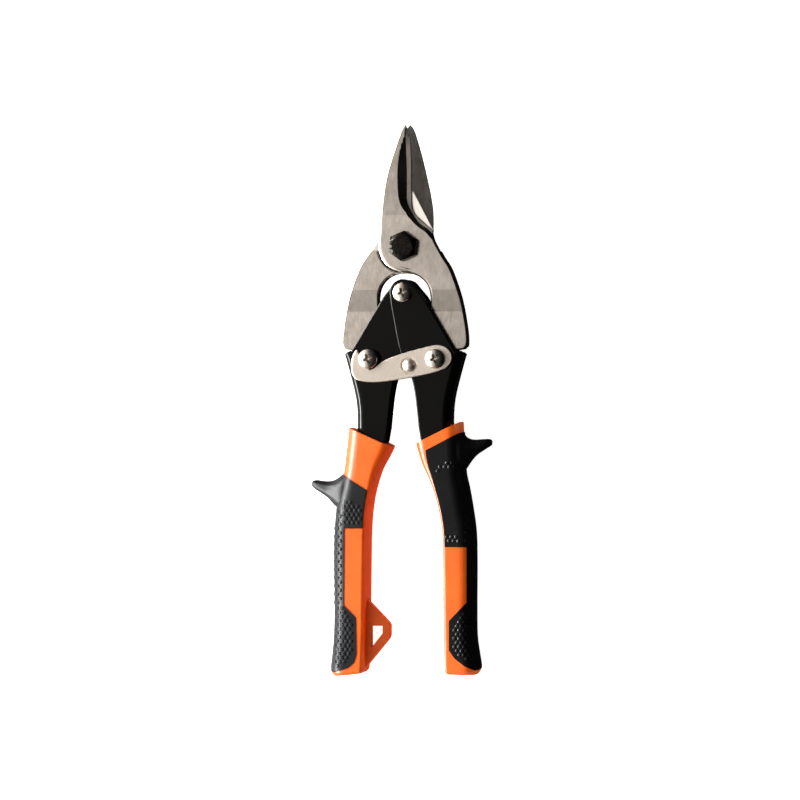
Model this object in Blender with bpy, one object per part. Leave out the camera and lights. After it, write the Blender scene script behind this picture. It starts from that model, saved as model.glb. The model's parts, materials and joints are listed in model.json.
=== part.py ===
"""Compound-action aviation snips, lying flat with the jaws latched shut.

The tool lies in the XY plane with its tips towards +Y and every pivot axis along +Z.
X = Y = 0 is the main pivot, and Z = 0 is the surface that the bolt end and the grips rest on.
Sizes below are in millimetres; MM turns them into metres where a mesh or a place is made.
"""
import math

import bmesh
import bpy
from mathutils import Matrix, Vector

MM = 0.001

# ---- pivots ------------------------------------------------------------------------------
TAIL_X = 15.3            # each tail pivot stands this far from the centre line
TAIL_Y = -51.1
CENTRE_Y = -21.1         # the pivot that joins the two handles
DRAWN_X, DRAWN_Y = 15.3, -51.1      # the tail pivot that the outlines below are drawn around
MAIN = (0.0, 0.0)
CENTRE = (0.0, CENTRE_Y)
LEFT = (-TAIL_X, TAIL_Y)
RIGHT = (TAIL_X, TAIL_Y)

# ---- clearances --------------------------------------------------------------------------
GAP = 0.3                # between faces that touch on the real tool
RUN = 0.3                # radial running clearance of a pin in its hole
OPEN_RUN = 0.9           # radial clearance where the closed linkage is opened
SPRING_PLAY = 0.35       # between the coil's ends and the ears beside it

# ---- thicknesses, from the middle plane of the tool ---------------------------------------
GRIP_HALF = 12.3
JAW_HALF = 4.4
TAIL_HALF = 3.6
EAR = 1.8                # sheet thickness of the handles
INNER_EAR = JAW_HALF + GAP
OUTER_EAR = INNER_EAR + EAR + GAP
WASHER = 0.5
LATCH_THICK = 2.0
LATCH_LOW = OUTER_EAR + EAR + GAP + WASHER + GAP
LATCH_HIGH = LATCH_LOW + LATCH_THICK
MID_Z = GRIP_HALF        # height of the middle plane above the resting surface

# ---- jaws --------------------------------------------------------------------------------
TIP_Y = 55.2
DRAWN_TIP = 55.2         # the tip that the blade outlines are drawn up to
BLADE_ROOT = 14.2        # the blade thins from here to the tip
LAP_R = 12.9             # wall of the lap joint around the other jaw's boss
HUB_R = 6.3              # round end of a tail
RAMP_TOP = -19.8
RAMP_LOW = -29.6
RIM = 0.7                # forged edge rounding

# ---- main bolt ---------------------------------------------------------------------------
BOLT_R = 4.0
HEX_FLATS = 12.0
HEX_HEIGHT = 5.6
HEX_TURN = 23.4          # one corner of the head points this many degrees from +X
BACK_WASHER_R = 8.5
BACK_WASHER = 1.0
NUT_FLATS = 13.0
NUT_HEIGHT = 4.2
INSERT_HEIGHT = 1.2

# ---- small pivots ------------------------------------------------------------------------
BARREL_R = 2.9
SCREW_R = 1.8
COLLAR_R = 2.4
HEAD_R = 4.45
HEAD_HEIGHT = 2.5
FLANGE = 1.6
SCREW_REACH = 6.0        # the screws end this far behind the middle plane
CROSS_TURN = 20.0
SPACER_R = 5.8

# ---- latch -------------------------------------------------------------------------------
LATCH_END_R = 7.4
NUB_R = 3.0

# ---- grips -------------------------------------------------------------------------------
GRIP_ROUND = 4.6
SKIN = 2.2               # thickness of the soft overmould
TAB_HALF = 2.5
GUARD_HALF = 7.2

STEEL = ("forged_steel", (0.42, 0.40, 0.37), 0.34, 1.0)
BLACK_STEEL = ("black_steel", (0.01, 0.01, 0.01), 0.25, 0.0)
OXIDE = ("black_oxide", (0.02, 0.02, 0.02), 0.35, 1.0)
NICKEL = ("nickel_plate", (0.62, 0.56, 0.50), 0.25, 1.0)
ORANGE = ("orange_plastic", (0.85, 0.16, 0.03), 0.4, 0.0)
RUBBER = ("black_rubber", (0.02, 0.02, 0.02), 0.6, 0.0)
NYLON = ("nylon", (0.6, 0.6, 0.62), 0.5, 0.0)
SPRING = ("spring_wire", (0.35, 0.34, 0.33), 0.3, 1.0)


# ---- outline helpers ---------------------------------------------------------------------
def fitted(points):
    """Move drawn points along with the tail pivots and the tip, where those are set elsewhere."""
    wider = TAIL_X - DRAWN_X
    longer = (TIP_Y - BLADE_ROOT) / (DRAWN_TIP - BLADE_ROOT)
    lower = (TAIL_Y - CENTRE_Y) / (DRAWN_Y - CENTRE_Y)
    moved = []
    for x, y in points:
        share = min(max(x / DRAWN_X, -1.0), 1.0) * min(max(y / DRAWN_Y, 0.0), 1.0)
        if y > BLADE_ROOT:
            y = BLADE_ROOT + (y - BLADE_ROOT) * longer
        elif y < DRAWN_Y:
            y += TAIL_Y - DRAWN_Y
        elif y < CENTRE_Y:
            y = CENTRE_Y + (y - CENTRE_Y) * lower
        moved.append((x + wider * share, y))
    return moved


def arc(centre, radius, start, end, steps=10):
    """Points on an arc from start to end, in degrees."""
    turns = [math.radians(start + (end - start) * i / steps) for i in range(steps + 1)]
    return [(centre[0] + radius * math.cos(a), centre[1] + radius * math.sin(a)) for a in turns]


def smooth(points, steps=3):
    """A Catmull-Rom curve through the points, with steps pieces in each span."""
    ends = [points[0]] + list(points) + [points[-1]]
    curve = []
    for i in range(1, len(ends) - 2):
        a, b, c, d = ends[i - 1:i + 3]
        for j in range(steps):
            t = j / steps
            curve.append(tuple(
                0.5 * (2 * b[k] + (c[k] - a[k]) * t + (2 * a[k] - 5 * b[k] + 4 * c[k] - d[k]) * t * t
                       + (3 * b[k] - a[k] - 3 * c[k] + d[k]) * t ** 3) for k in (0, 1)))
    return curve + [tuple(points[-1])]


def area(outline):
    pairs = zip(outline, outline[1:] + outline[:1])
    return 0.5 * sum(a[0] * b[1] - b[0] * a[1] for a, b in pairs)


def inset(outline, distance):
    """Move every side of an outline inwards by the distance (outwards when negative)."""
    turn = 1.0 if area(outline) > 0 else -1.0
    moved = []
    for i, here in enumerate(outline):
        here = Vector(here)
        one = (here - Vector(outline[i - 1])).normalized() * turn
        two = (Vector(outline[(i + 1) % len(outline)]) - here).normalized() * turn
        normal_one = Vector((-one.y, one.x))
        middle = (normal_one + Vector((-two.y, two.x))).normalized()
        moved.append(tuple(here + middle * distance / max(middle.dot(normal_one), 0.5)))
    return moved


def at_height(line, y):
    """Where a side line, listed from top to bottom, stands at the height y."""
    for (xa, ya), (xb, yb) in zip(line, line[1:]):
        if ya >= y >= yb:
            return xa + (xb - xa) * (ya - y) / (ya - yb)
    return line[0][0] if y > line[0][1] else line[-1][0]


# ---- solid helpers -----------------------------------------------------------------------
def material(spec):
    name, colour, roughness, metallic = spec
    made = bpy.data.materials.get(name)
    if made is None:
        made = bpy.data.materials.new(name)
        made.use_nodes = True
        shader = made.node_tree.nodes["Principled BSDF"]
        shader.inputs["Base Color"].default_value = (*colour, 1.0)
        shader.inputs["Roughness"].default_value = roughness
        shader.inputs["Metallic"].default_value = metallic
    return made


def add_object(name, mesh_builder, spec):
    """Make a bmesh an object, still in millimetres around the main pivot's middle."""
    bmesh.ops.recalc_face_normals(mesh_builder, faces=mesh_builder.faces)
    mesh = bpy.data.meshes.new(name)
    mesh_builder.to_mesh(mesh)
    mesh_builder.free()
    mesh.materials.append(material(spec))
    made = bpy.data.objects.new(name, mesh)
    bpy.context.scene.collection.objects.link(made)
    return made


def prism_mesh(outline, low, high, rim=0.0, segments=2, where=None):
    """Extrude an outline from low to high; rim rounds the face edges, or only those where says so."""
    builder = bmesh.new()
    corners = [builder.verts.new((x, y, low)) for x, y in outline]
    base = builder.faces.new(corners)
    lifted = bmesh.ops.extrude_face_region(builder, geom=[base])
    top = [v for v in lifted["geom"] if isinstance(v, bmesh.types.BMVert)]
    bmesh.ops.translate(builder, vec=(0, 0, high - low), verts=top)
    if rim:
        edges = [e for e in builder.edges if abs(e.verts[0].co.z - e.verts[1].co.z) < 1e-6
                 and (where is None or all(where(*v.co.xy) for v in e.verts))]
        bmesh.ops.bevel(builder, geom=edges, offset=rim, segments=segments, profile=0.5, affect="EDGES")
    return builder


def prism(name, outline, low, high, spec=STEEL, rim=0.0, segments=2, where=None):
    return add_object(name, prism_mesh(outline, low, high, rim, segments, where), spec)


def turned(name, centre, profile, spec=STEEL, steps=32):
    """Spin a closed (radius, height) profile around a pivot's axis."""
    builder = bmesh.new()
    rings = []
    for radius, height in profile:
        if radius < 1e-6:
            rings.append([builder.verts.new((centre[0], centre[1], height))])
        else:
            ring = arc(centre, radius, 0, 360, steps)[:-1]
            rings.append([builder.verts.new((x, y, height)) for x, y in ring])
    for low, high in zip(rings, rings[1:] + rings[:1]):
        for i in range(steps):
            j = (i + 1) % steps
            face = [low[i % len(low)], low[j % len(low)], high[j % len(high)], high[i % len(high)]]
            face = list(dict.fromkeys(face))
            if len(face) > 2:
                builder.faces.new(face)
    made = add_object(name, builder, spec)
    made.data.shade_smooth()
    made.data.set_sharp_from_angle(angle=math.radians(35))
    return made


def loft(name, sections, spec=STEEL):
    """Skin closed sections that have the same number of (x, y, z) points, and cap both ends."""
    builder = bmesh.new()
    rings = [[builder.verts.new(p) for p in section] for section in sections]
    for one, two in zip(rings, rings[1:]):
        for i in range(len(one)):
            j = (i + 1) % len(one)
            builder.faces.new((one[i], one[j], two[j], two[i]))
    builder.faces.new(rings[0])
    builder.faces.new(rings[-1])
    return add_object(name, builder, spec)


def triangulate(piece):
    """Split every face into triangles, so that no bent face meets a Boolean."""
    builder = bmesh.new()
    builder.from_mesh(piece.data)
    bmesh.ops.triangulate(builder, faces=builder.faces)
    builder.to_mesh(piece.data)
    builder.free()


def combine(target, other, operation):
    """Boolean the other object into the target and remove the other object."""
    triangulate(target)
    triangulate(other)
    step = target.modifiers.new(operation, "BOOLEAN")
    step.operation = operation
    step.solver = "EXACT"
    step.object = other
    graph = bpy.context.evaluated_depsgraph_get()
    mesh = bpy.data.meshes.new_from_object(target.evaluated_get(graph))
    target.modifiers.remove(step)
    target.data = mesh
    bpy.data.objects.remove(other, do_unlink=True)
    return target


def cut(target, *cutters):
    for cutter in cutters:
        combine(target, cutter, "DIFFERENCE")
    return target


def fuse(target, *others):
    for other in others:
        combine(target, other, "UNION")
    return target


def keep_inside(target, other):
    return combine(target, other, "INTERSECT")


def hole(centre, radius, low=-30.0, high=30.0, steps=32):
    return turned("hole", centre, [(0, low), (radius, low), (radius, high), (0, high)], steps=steps)


def hexagon(centre, flats, turn):
    return arc(centre, flats / math.sqrt(3), turn, turn + 360, 6)[:-1]


def pivot_empty(name, centre, parent=None):
    """An empty on a joint's axis, which the pieces that turn there hang from."""
    empty = bpy.data.objects.new(name, None)
    bpy.context.scene.collection.objects.link(empty)
    place = Vector((centre[0] * MM, centre[1] * MM, MID_Z * MM))
    empty["axis_point"] = tuple(place)
    empty.parent = parent
    empty.location = place - Vector(parent["axis_point"]) if parent else place
    return empty


def hang(empty, *pieces):
    """Bring the pieces to metres, with their origin on the empty's axis, and parent them to it."""
    middle = Vector((0, 0, MID_Z * MM))
    place = Matrix.Translation(middle - Vector(empty["axis_point"])) @ Matrix.Scale(MM, 4)
    for piece in pieces:
        piece.data.transform(place)
        piece.parent = empty


# ---- jaws --------------------------------------------------------------------------------
# Both jaws are drawn as the front one, with the blade on the left and the tail on the right.
FRONT_OUTER = fitted([(0.4, 55.2), (-1.3, 52.8), (-3.1, 49.6), (-6.9, 39.5), (-9.8, 27.8), (-11.3, 14.5),
                      (-11.9, 3.0)])
REAR_OUTER = fitted([(-2.0, 56.0), (-3.9, 52.6), (-6.0, 46.1), (-8.1, 38.3), (-11.2, 24.1), (-12.5, 14.5),
                     (-12.4, 3.0)])
BOSS_LINE = fitted([(-10.7, -2.2), (-7.3, -7.7), (-4.0, -10.1), (0.1, -11.3), (4.6, -12.5), (8.3, -15.0),
                    (11.0, -18.6), (12.0, -24.0), (11.4, -32.0), (9.6, -44.0)])
TAIL_END = fitted([(23.8, -47.2), (27.2, -46.7), (28.8, -45.2)])
TAIL_OUTER = fitted([(28.9, -42.8), (28.3, -36.3), (25.9, -23.9), (21.4, -10.9), (17.7, -4.8), (13.9, 2.2),
                     (12.5, 6.8)])
THROAT = fitted([(9.7, 9.4), (6.8, 12.1), (4.2, 14.6), (3.0, 17.6), (2.7, 22.0)])
CUTTING_EDGE = fitted([(2.7, 34.0), (2.5, 42.3), (2.1, 47.5), (1.3, 51.5)])
# The hollow beside the cutting edge, as (ridge, foot of the slope, edge) at each station.
HOLLOW = [((0.9, 58.0), (1.3, 58.0), (2.0, 58.0)), ((-0.1, 51.3), (0.4, 51.2), (1.5, 51.3)),
          ((-2.3, 43.5), (0.5, 44.0), (2.5, 44.0)), ((-3.2, 34.0), (0.9, 34.0), (2.7, 34.0)),
          ((-3.1, 26.4), (0.9, 26.4), (2.7, 26.4)), ((-2.5, 21.2), (0.9, 21.5), (2.8, 22.0)),
          ((-0.6, 16.8), (2.0, 17.8), (3.3, 18.4)), ((5.4, 9.5), (6.1, 11.0), (7.0, 12.6)),
          ((9.9, 6.1), (10.8, 7.6), (11.9, 9.2)), ((14.5, 0.6), (16.0, 2.2), (17.4, 3.6))]
HOLLOW_FOOT = 1.9        # height of the foot of the slope above the middle plane
HOLLOW_EDGE = 1.3
BLADE_THIN = 1.8         # what the blade has lost in thickness at its tip
HEEL = fitted([(2.6, 26.6), (-3.6, 24.7), (-12.7, 7.3)])
RELIEF = 0.085           # slope of the ground face behind the cutting edge
SHOULDER_TURN = 8.0      # the full-thickness shoulder starts this far below the X axis


def slab(name, outline, low, high):
    """A cutter whose lower and upper faces are a height or a plane given as a function."""
    builder = bmesh.new()
    faces = []
    for level in (low, high):
        ring = [(x, y, level(x, y) if callable(level) else level) for x, y in outline]
        faces.append([builder.verts.new(p) for p in ring])
    for face in faces:
        builder.faces.new(face)
    for i in range(len(outline)):
        j = (i + 1) % len(outline)
        builder.faces.new((faces[0][i], faces[0][j], faces[1][j], faces[1][i]))
    return add_object(name, builder, STEEL)


def strip(low_y, high_y):
    return [(-60.0, low_y), (60.0, low_y), (60.0, high_y), (-60.0, high_y)]


def hollow_cutter():
    """The hollow between the flat of the blade and the strip along the cutting edge."""
    above = JAW_HALF + 2.0
    sections = []
    for ridge, foot, edge in map(fitted, HOLLOW):
        rise = (above - JAW_HALF) / (JAW_HALF - HOLLOW_FOOT)
        crest = [ridge[k] + (ridge[k] - foot[k]) * rise for k in (0, 1)]
        outside = [edge[k] + (edge[k] - foot[k]) * 1.5 for k in (0, 1)]
        sections.append([(*crest, above), (*foot, HOLLOW_FOOT), (*edge, HOLLOW_EDGE),
                         (*outside, HOLLOW_EDGE), (*outside, above)])
    return loft("hollow", sections)


def lap_cutter():
    """The half of the thickness that the other jaw takes up around the pivot and above it."""
    reach = 90.0
    turn = SHOULDER_TURN
    right = (reach * math.cos(math.radians(turn)), -reach * math.sin(math.radians(turn)))
    outline = [right, (reach, reach), (-reach, reach), (-right[0], right[1])]
    outline += arc(MAIN, LAP_R, 180 + turn, 360 - turn, 24)
    return prism("lap", outline, -JAW_HALF - 1.0, GAP / 2)


def tail_thinning(side):
    """What a face of the tail loses: a ramp, then an even depth to the end."""
    run = (RAMP_TOP - RAMP_LOW) / (JAW_HALF - TAIL_HALF)
    end = TAIL_Y - 30.0
    profile = [(RAMP_TOP + run, JAW_HALF + 1.0), (RAMP_LOW, TAIL_HALF), (end, TAIL_HALF), (end, JAW_HALF + 1.0)]
    return loft("tail_thinning", [[(x, y, side * z) for y, z in profile] for x in (-60.0, 60.0)])


def away_from_edge(x, y):
    """True on the outline except along the cutting edge, at the throat and at the tip."""
    return y < TIP_Y - 1.5 and not (x > 0.0 and y > 6.0)


def jaw(name, outer):
    """One forged jaw: blade, half-lapped boss and thinned tail."""
    hub = arc(RIGHT, HUB_R, 165, 325, 14)
    outline = smooth(outer, 3) + smooth(BOSS_LINE, 3) + hub + TAIL_END
    outline += smooth(TAIL_OUTER + THROAT + CUTTING_EDGE, 2)
    blank = prism(name, outline, -JAW_HALF, JAW_HALF, STEEL, RIM, 2, away_from_edge)
    cut(blank, lap_cutter(), hollow_cutter())
    thin = BLADE_THIN / (TIP_Y - BLADE_ROOT)
    cut(blank, slab("taper", strip(BLADE_ROOT, TIP_Y + 5),
                    lambda x, y: JAW_HALF - thin * (y - BLADE_ROOT), JAW_HALF + 1.0))
    relief = HEEL + [(-30.0, HEEL[-1][1]), (-30.0, TIP_Y + 5), (2.6, TIP_Y + 5)]
    cut(blank, slab("relief", relief, -JAW_HALF - 1.0,
                    lambda x, y: GAP / 2 + RELIEF * (HEEL[0][0] - x)))
    cut(blank, tail_thinning(1), tail_thinning(-1))
    boss = turned("boss", RIGHT, [(0, -JAW_HALF), (SPACER_R, -JAW_HALF), (SPACER_R, JAW_HALF), (0, JAW_HALF)])
    fuse(blank, boss)
    return cut(blank, hole(MAIN, BOLT_R + RUN), hole(RIGHT, BARREL_R + RUN))


def front_jaw():
    return jaw("front_jaw", FRONT_OUTER)


def rear_jaw():
    """The other jaw, turned half a turn about the tool's long axis."""
    made = jaw("rear_jaw", REAR_OUTER)
    made.data.transform(Matrix.Rotation(math.pi, 4, "Y"))
    return made


# ---- main pivot --------------------------------------------------------------------------
def hex_piece(name, flats, low, high, turn, chamfer, spec):
    """A hexagon prism whose far corners are turned off."""
    corner = flats / math.sqrt(3)
    deep = corner - chamfer
    outward = 1 if abs(high) > abs(low) else -1
    near, far = (low, high) if outward > 0 else (high, low)
    body = prism(name, hexagon(MAIN, flats, turn), low, high, spec)
    cone = turned("cone", MAIN, [(0, near - outward), (corner + 1, near - outward),
                                 (corner + 1, far - outward * (corner + 1 - deep) * 0.45),
                                 (deep, far), (0, far)], spec, 48)
    return keep_inside(body, cone)


def pivot_bolt():
    low = JAW_HALF + GAP
    head = hex_piece("pivot_bolt", HEX_FLATS, low, low + HEX_HEIGHT, HEX_TURN, 2.1, OXIDE)
    end = BOLT_R - 0.8
    shank = turned("shank", MAIN, [(0, -MID_Z), (end, -MID_Z), (BOLT_R, -MID_Z + 0.8),
                                   (BOLT_R, low + 1.0), (0, low + 1.0)], OXIDE)
    return fuse(head, shank)


def ring(name, centre, inner, outer, low, high, spec):
    return turned(name, centre, [(inner, low), (outer, low), (outer, high), (inner, high)], spec)


def pivot_stack():
    """Washer, lock nut and its nylon ring behind the jaws."""
    face = -(JAW_HALF + GAP)
    washer = ring("pivot_washer", MAIN, BOLT_R + RUN, BACK_WASHER_R, face - BACK_WASHER, face, NICKEL)
    top = face - BACK_WASHER - GAP
    nut = hex_piece("pivot_nut", NUT_FLATS, top - NUT_HEIGHT, top, 0, 1.2, OXIDE)
    cut(nut, hole(MAIN, BOLT_R + RUN))
    top -= NUT_HEIGHT + GAP
    insert = ring("pivot_nut_insert", MAIN, BOLT_R + RUN, BOLT_R + 1.9, top - INSERT_HEIGHT, top, NYLON)
    return [washer, nut, insert]


# ---- small pivots ------------------------------------------------------------------------
def pan_head(name, centre, base, collar_low=None):
    """A cross-recess screw: domed head, shank, and a shoulder under the head where one is asked."""
    top = base + HEAD_HEIGHT
    dome = [(HEAD_R * math.cos(a), base + 0.5 + (HEAD_HEIGHT - 0.5) * math.sin(a))
            for a in (math.radians(d) for d in range(0, 90, 15))]
    end = -SCREW_REACH
    profile = [(0, end), (SCREW_R, end)]
    if collar_low is not None:
        profile += [(SCREW_R, collar_low), (COLLAR_R, collar_low), (COLLAR_R, base)]
    else:
        profile += [(SCREW_R, base)]
    profile += [(HEAD_R, base)] + dome + [(0, top)]
    screw = turned(name, centre, profile, NICKEL)
    blade, half = 0.45, 2.4
    arm = [(half, -blade), (half, blade), (blade, blade)]
    cross = [(x * c - y * s, x * s + y * c) for c, s in ((1, 0), (0, 1), (-1, 0), (0, -1)) for x, y in arm]
    turn = math.radians(CROSS_TURN)
    cross = [(centre[0] + x * math.cos(turn) - y * math.sin(turn),
              centre[1] + x * math.sin(turn) + y * math.cos(turn)) for x, y in cross]
    return cut(screw, prism("recess", cross, top - 1.3, top + 1.0))


def barrel_nut(name, centre, back, front):
    """A flanged sleeve from behind, bored for the screw."""
    bore = SCREW_R + RUN
    profile = [(0, back - FLANGE), (HEAD_R - 0.5, back - FLANGE), (HEAD_R, back - FLANGE + 0.5), (HEAD_R, back),
               (BARREL_R, back), (BARREL_R, front), (bore, front), (bore, back - 0.6), (0, back - 0.6)]
    return turned(name, centre, profile, NICKEL)


def left_pivot():
    outside = INNER_EAR + EAR + GAP
    return [pan_head("left_pivot_screw", LEFT, LATCH_HIGH + GAP, outside),
            barrel_nut("left_pivot_nut", LEFT, -outside, INNER_EAR + EAR)]


def right_pivot():
    """Screw and sleeve through the latch, and the washers that fill the wider handle."""
    outside = OUTER_EAR + EAR + GAP
    bore = BARREL_R + RUN
    pieces = [pan_head("right_pivot_screw", RIGHT, LATCH_HIGH + GAP),
              barrel_nut("right_pivot_nut", RIGHT, -outside, LATCH_HIGH),
              ring("latch_washer", RIGHT, bore, 5.2, outside, outside + WASHER, NICKEL)]
    for name, low in (("right_spacer_front", INNER_EAR), ("right_spacer_back", -INNER_EAR - EAR)):
        pieces.append(ring(name, RIGHT, bore, SPACER_R, low, low + EAR, NICKEL))
    return pieces


def centre_pivot():
    outside = OUTER_EAR + EAR + GAP
    return [pan_head("centre_pivot_screw", CENTRE, outside),
            barrel_nut("centre_pivot_nut", CENTRE, -outside, OUTER_EAR + EAR)]


def return_spring():
    """A torsion spring on the centre sleeve, with a leg against each tail."""
    wire, turns, steps = 0.75, 4.5, 16
    radius = BARREL_R + 0.45 + wire
    rise = INNER_EAR - SPRING_PLAY - wire
    pitch = 2 * rise / turns
    foot, knee = fitted([(9.7, -37.0), (6.4, -28.5)])
    coil = []
    for i in range(int(turns * steps) + 1):
        angle = 2 * math.pi * i / steps
        coil.append((CENTRE[0] + radius * math.cos(angle), CENTRE[1] + radius * math.sin(angle),
                     rise - pitch * i / steps))
    route = [(*foot, rise), (*knee, rise)] + coil + [(-knee[0], knee[1], -rise), (-foot[0], foot[1], -rise)]
    curve = bpy.data.curves.new("return_spring", "CURVE")
    curve.dimensions = "3D"
    curve.bevel_depth = wire
    curve.bevel_resolution = 2
    curve.use_fill_caps = True
    spline = curve.splines.new("POLY")
    spline.points.add(len(route) - 1)
    for point, place in zip(spline.points, route):
        point.co = (*place, 1.0)
    guide = bpy.data.objects.new("spring_route", curve)
    bpy.context.scene.collection.objects.link(guide)
    graph = bpy.context.evaluated_depsgraph_get()
    builder = bmesh.new()
    builder.from_mesh(bpy.data.meshes.new_from_object(guide.evaluated_get(graph)))
    bmesh.ops.remove_doubles(builder, verts=builder.verts, dist=0.001)
    bpy.data.objects.remove(guide, do_unlink=True)
    made = add_object("return_spring", builder, SPRING)
    made.data.shade_smooth()
    return made


# ---- latch -------------------------------------------------------------------------------
def latch():
    """A flat plate that turns on the right pivot and hooks the shoulder of the left screw."""
    flank = 206.0
    hold = COLLAR_R + RUN
    reach = 4.9
    ax, ay = LEFT
    turn = math.radians(flank - 90)
    foot = arc(LEFT, hold, flank, flank + 34, 3)
    prong = (foot[0][0] + 5.8 * math.cos(turn), foot[0][1] + 5.8 * math.sin(turn))
    notch = arc(LEFT, reach, 277, 320, 5)
    top = fitted([(-8.9, -52.4), (-4.5, -50.1), (4.1, -47.6), (12.4, -45.2)])
    left = [(ax - 5.4, ay + 4.1), (ax - 6.4, ay + 2.9), (ax - 7.6, ay - 0.2), (ax - 7.9, ay - 3.2),
            (ax - 7.4, ay - 6.6), (ax - 6.0, ay - 8.9), (ax - 3.2, ay - 10.1)]
    bottom = fitted([(-11.0, -61.7), (2.0, -60.0), (12.4, -58.1)])
    outline = left + bottom + arc(RIGHT, LATCH_END_R, 280, 460, 18) + smooth(top[::-1], 2) + notch[::-1]
    outline += foot[::-1] + [prong]
    plate = prism("latch", outline, LATCH_LOW, LATCH_HIGH, NICKEL, rim=0.25, segments=1)
    dome = [(NUB_R * math.cos(a), LATCH_HIGH - 0.2 + 1.6 * math.sin(a))
            for a in (math.radians(d) for d in range(0, 90, 15))]
    nub = turned("nub", fitted([(3.3, -54.1)])[0], [(0, LATCH_LOW + 0.5), (NUB_R, LATCH_LOW + 0.5)] + dome
                 + [(0, LATCH_HIGH + 1.4)])
    fuse(plate, nub)
    return cut(plate, hole(RIGHT, BARREL_R + RUN))


# ---- handles -----------------------------------------------------------------------------
# Lines of the right handle's steel, from the ears down into the grip.
# The web that closes the channel starts at the shoulder's last point.
SHOULDER = fitted([(9.2, -22.6), (24.0, -47.4), (26.2, -48.0), (27.3, -48.9)])
NECK_OUTER = fitted([(25.4, -56.0), (22.2, -69.5), (21.6, -82.0)])
NECK_INNER = fitted([(8.2, -88.0), (5.9, -69.5), (4.1, -60.4), (1.0, -53.5), (-1.8, -46.0), (-5.4, -27.0)])
TANG_OUTER = fitted([(22.8, -96.0), (25.4, -113.0), (26.8, -130.0), (27.0, -165.0)])
TANG_INNER = fitted([(21.0, -165.0), (20.7, -130.0), (18.6, -113.0), (14.0, -99.0)])
EAR_R = 6.1
BEND = 2.4


def handle_outline():
    """Outline of the right handle's ears, neck and tang, counter-clockwise from the tang."""
    outer = SHOULDER + NECK_OUTER + TANG_OUTER
    return TANG_INNER + NECK_INNER + arc(CENTRE, EAR_R, 180, 30, 12) + outer


def web_line():
    """Inner side of the web, one sheet thickness inside the outer side."""
    outer = [SHOULDER[-1]] + NECK_OUTER + TANG_OUTER
    return [(x - EAR * 1.03, y) for x, y in outer]


def handle(name, side, ear_face, centre_run):
    """A folded sheet handle: two ears, a web on the outer side and a tang in the grip."""
    half = ear_face + EAR
    outline = handle_outline()
    outer = [SHOULDER[-1]] + NECK_OUTER + TANG_OUTER
    made = prism(name, outline, -half, half, BLACK_STEEL, BEND, 3,
                 lambda x, y: min(math.dist((x, y), p) for p in outer) < 1e-3)
    web = web_line()
    low = web[-1][1] - 15.0
    cavity = [(60.0, web[0][1]), (60.0, 0.0), (-60.0, 0.0), (-60.0, low), (web[-1][0], low)] + web[::-1]
    cut(made, prism("cavity", cavity, -ear_face, ear_face))
    cut(made, hole(RIGHT, BARREL_R + RUN), hole(CENTRE, BARREL_R + centre_run))
    if side < 0:
        made.data.transform(Matrix.Rotation(math.pi, 4, "Y"))
    return made


# ---- grips -------------------------------------------------------------------------------
# Side lines from top to bottom; the left grip is drawn on the right and turned over.
LEFT_LINES = {
    "inner": fitted([(3.6, -70.0), (4.6, -84.0), (5.9, -90.6), (8.6, -96.0), (12.0, -102.3), (15.3, -113.4),
                     (16.9, -127.6), (17.3, -150.0), (17.6, -176.0), (18.2, -192.0)]),
    "outer": fitted([(23.2, -70.0), (24.9, -84.0), (27.5, -103.7), (30.4, -118.4), (31.4, -134.0),
                     (31.4, -150.0), (31.2, -166.3), (31.5, -178.8), (32.8, -190.0)]),
    "foot": fitted([(31.5, -193.5), (27.7, -195.2), (24.0, -194.9)]),
    "mouth": fitted([(24.4, -82.2), (6.0, -90.6)]),
}
RIGHT_LINES = {
    "inner": fitted([(3.8, -68.0), (4.8, -82.0), (6.0, -89.4), (8.8, -98.1), (12.3, -105.5), (15.0, -112.5),
                     (17.3, -122.0), (18.4, -131.0), (18.8, -145.0), (18.8, -160.0), (19.0, -176.7),
                     (19.3, -190.5)]),
    "outer": fitted([(25.4, -68.0), (26.2, -80.0), (26.9, -92.0), (27.3, -102.5), (28.7, -109.0),
                     (30.4, -118.5), (31.9, -130.0), (32.2, -145.0), (32.1, -163.7), (32.3, -176.7),
                     (33.5, -185.4), (34.2, -189.6)]),
    "foot": fitted([(32.6, -192.8), (28.2, -194.1), (22.0, -193.4)]),
    "mouth": fitted([(26.4, -79.6), (6.0, -89.4)]),
}
BORDER = 0.9             # the soft skin stops this far from the inner side of the grip


def grip_outline(lines):
    return smooth(lines["outer"], 2) + lines["foot"] + smooth(lines["inner"], 2)[::-1]


def mouth_cutter(lines):
    (xa, ya), (xb, yb) = lines["mouth"]
    dx, dy = (xa - xb) * 4, (ya - yb) * 4
    outline = [(xb - dx, yb - dy), (xa + dx, ya + dy), (xa + dx, 0.0), (xb - dx, 0.0)]
    return prism("mouth", outline, -30, 30)


def grip_body(name, lines, spec):
    return prism(name, grip_outline(lines), -GRIP_HALF, GRIP_HALF, spec, GRIP_ROUND, 3)


def skin_bed(lines, depth):
    """What lies under the soft skin: the grip less this depth at its outer side, front and back."""
    outer = len(smooth(lines["outer"], 2)) + len(lines["foot"])
    outline = inset(grip_outline(lines), depth)[:outer]
    outline += [(x - 6.0, y) for x, y in smooth(lines["inner"], 2)[::-1]]
    return prism("bed", outline, -GRIP_HALF + depth, GRIP_HALF - depth)


def grip_core(name, lines, skin, steel_half):
    """The hard moulding over the tang, recessed where the soft skin lies."""
    core = grip_body(name, lines, ORANGE)
    recess = prism("recess", inset(skin, -GAP), -30, 30)
    cut(core, cut(recess, skin_bed(lines, SKIN + GAP)))
    tang = inset(handle_outline(), -RUN)
    return cut(core, mouth_cutter(lines), prism("tang_room", tang, -steel_half - RUN, steel_half + RUN))


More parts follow.
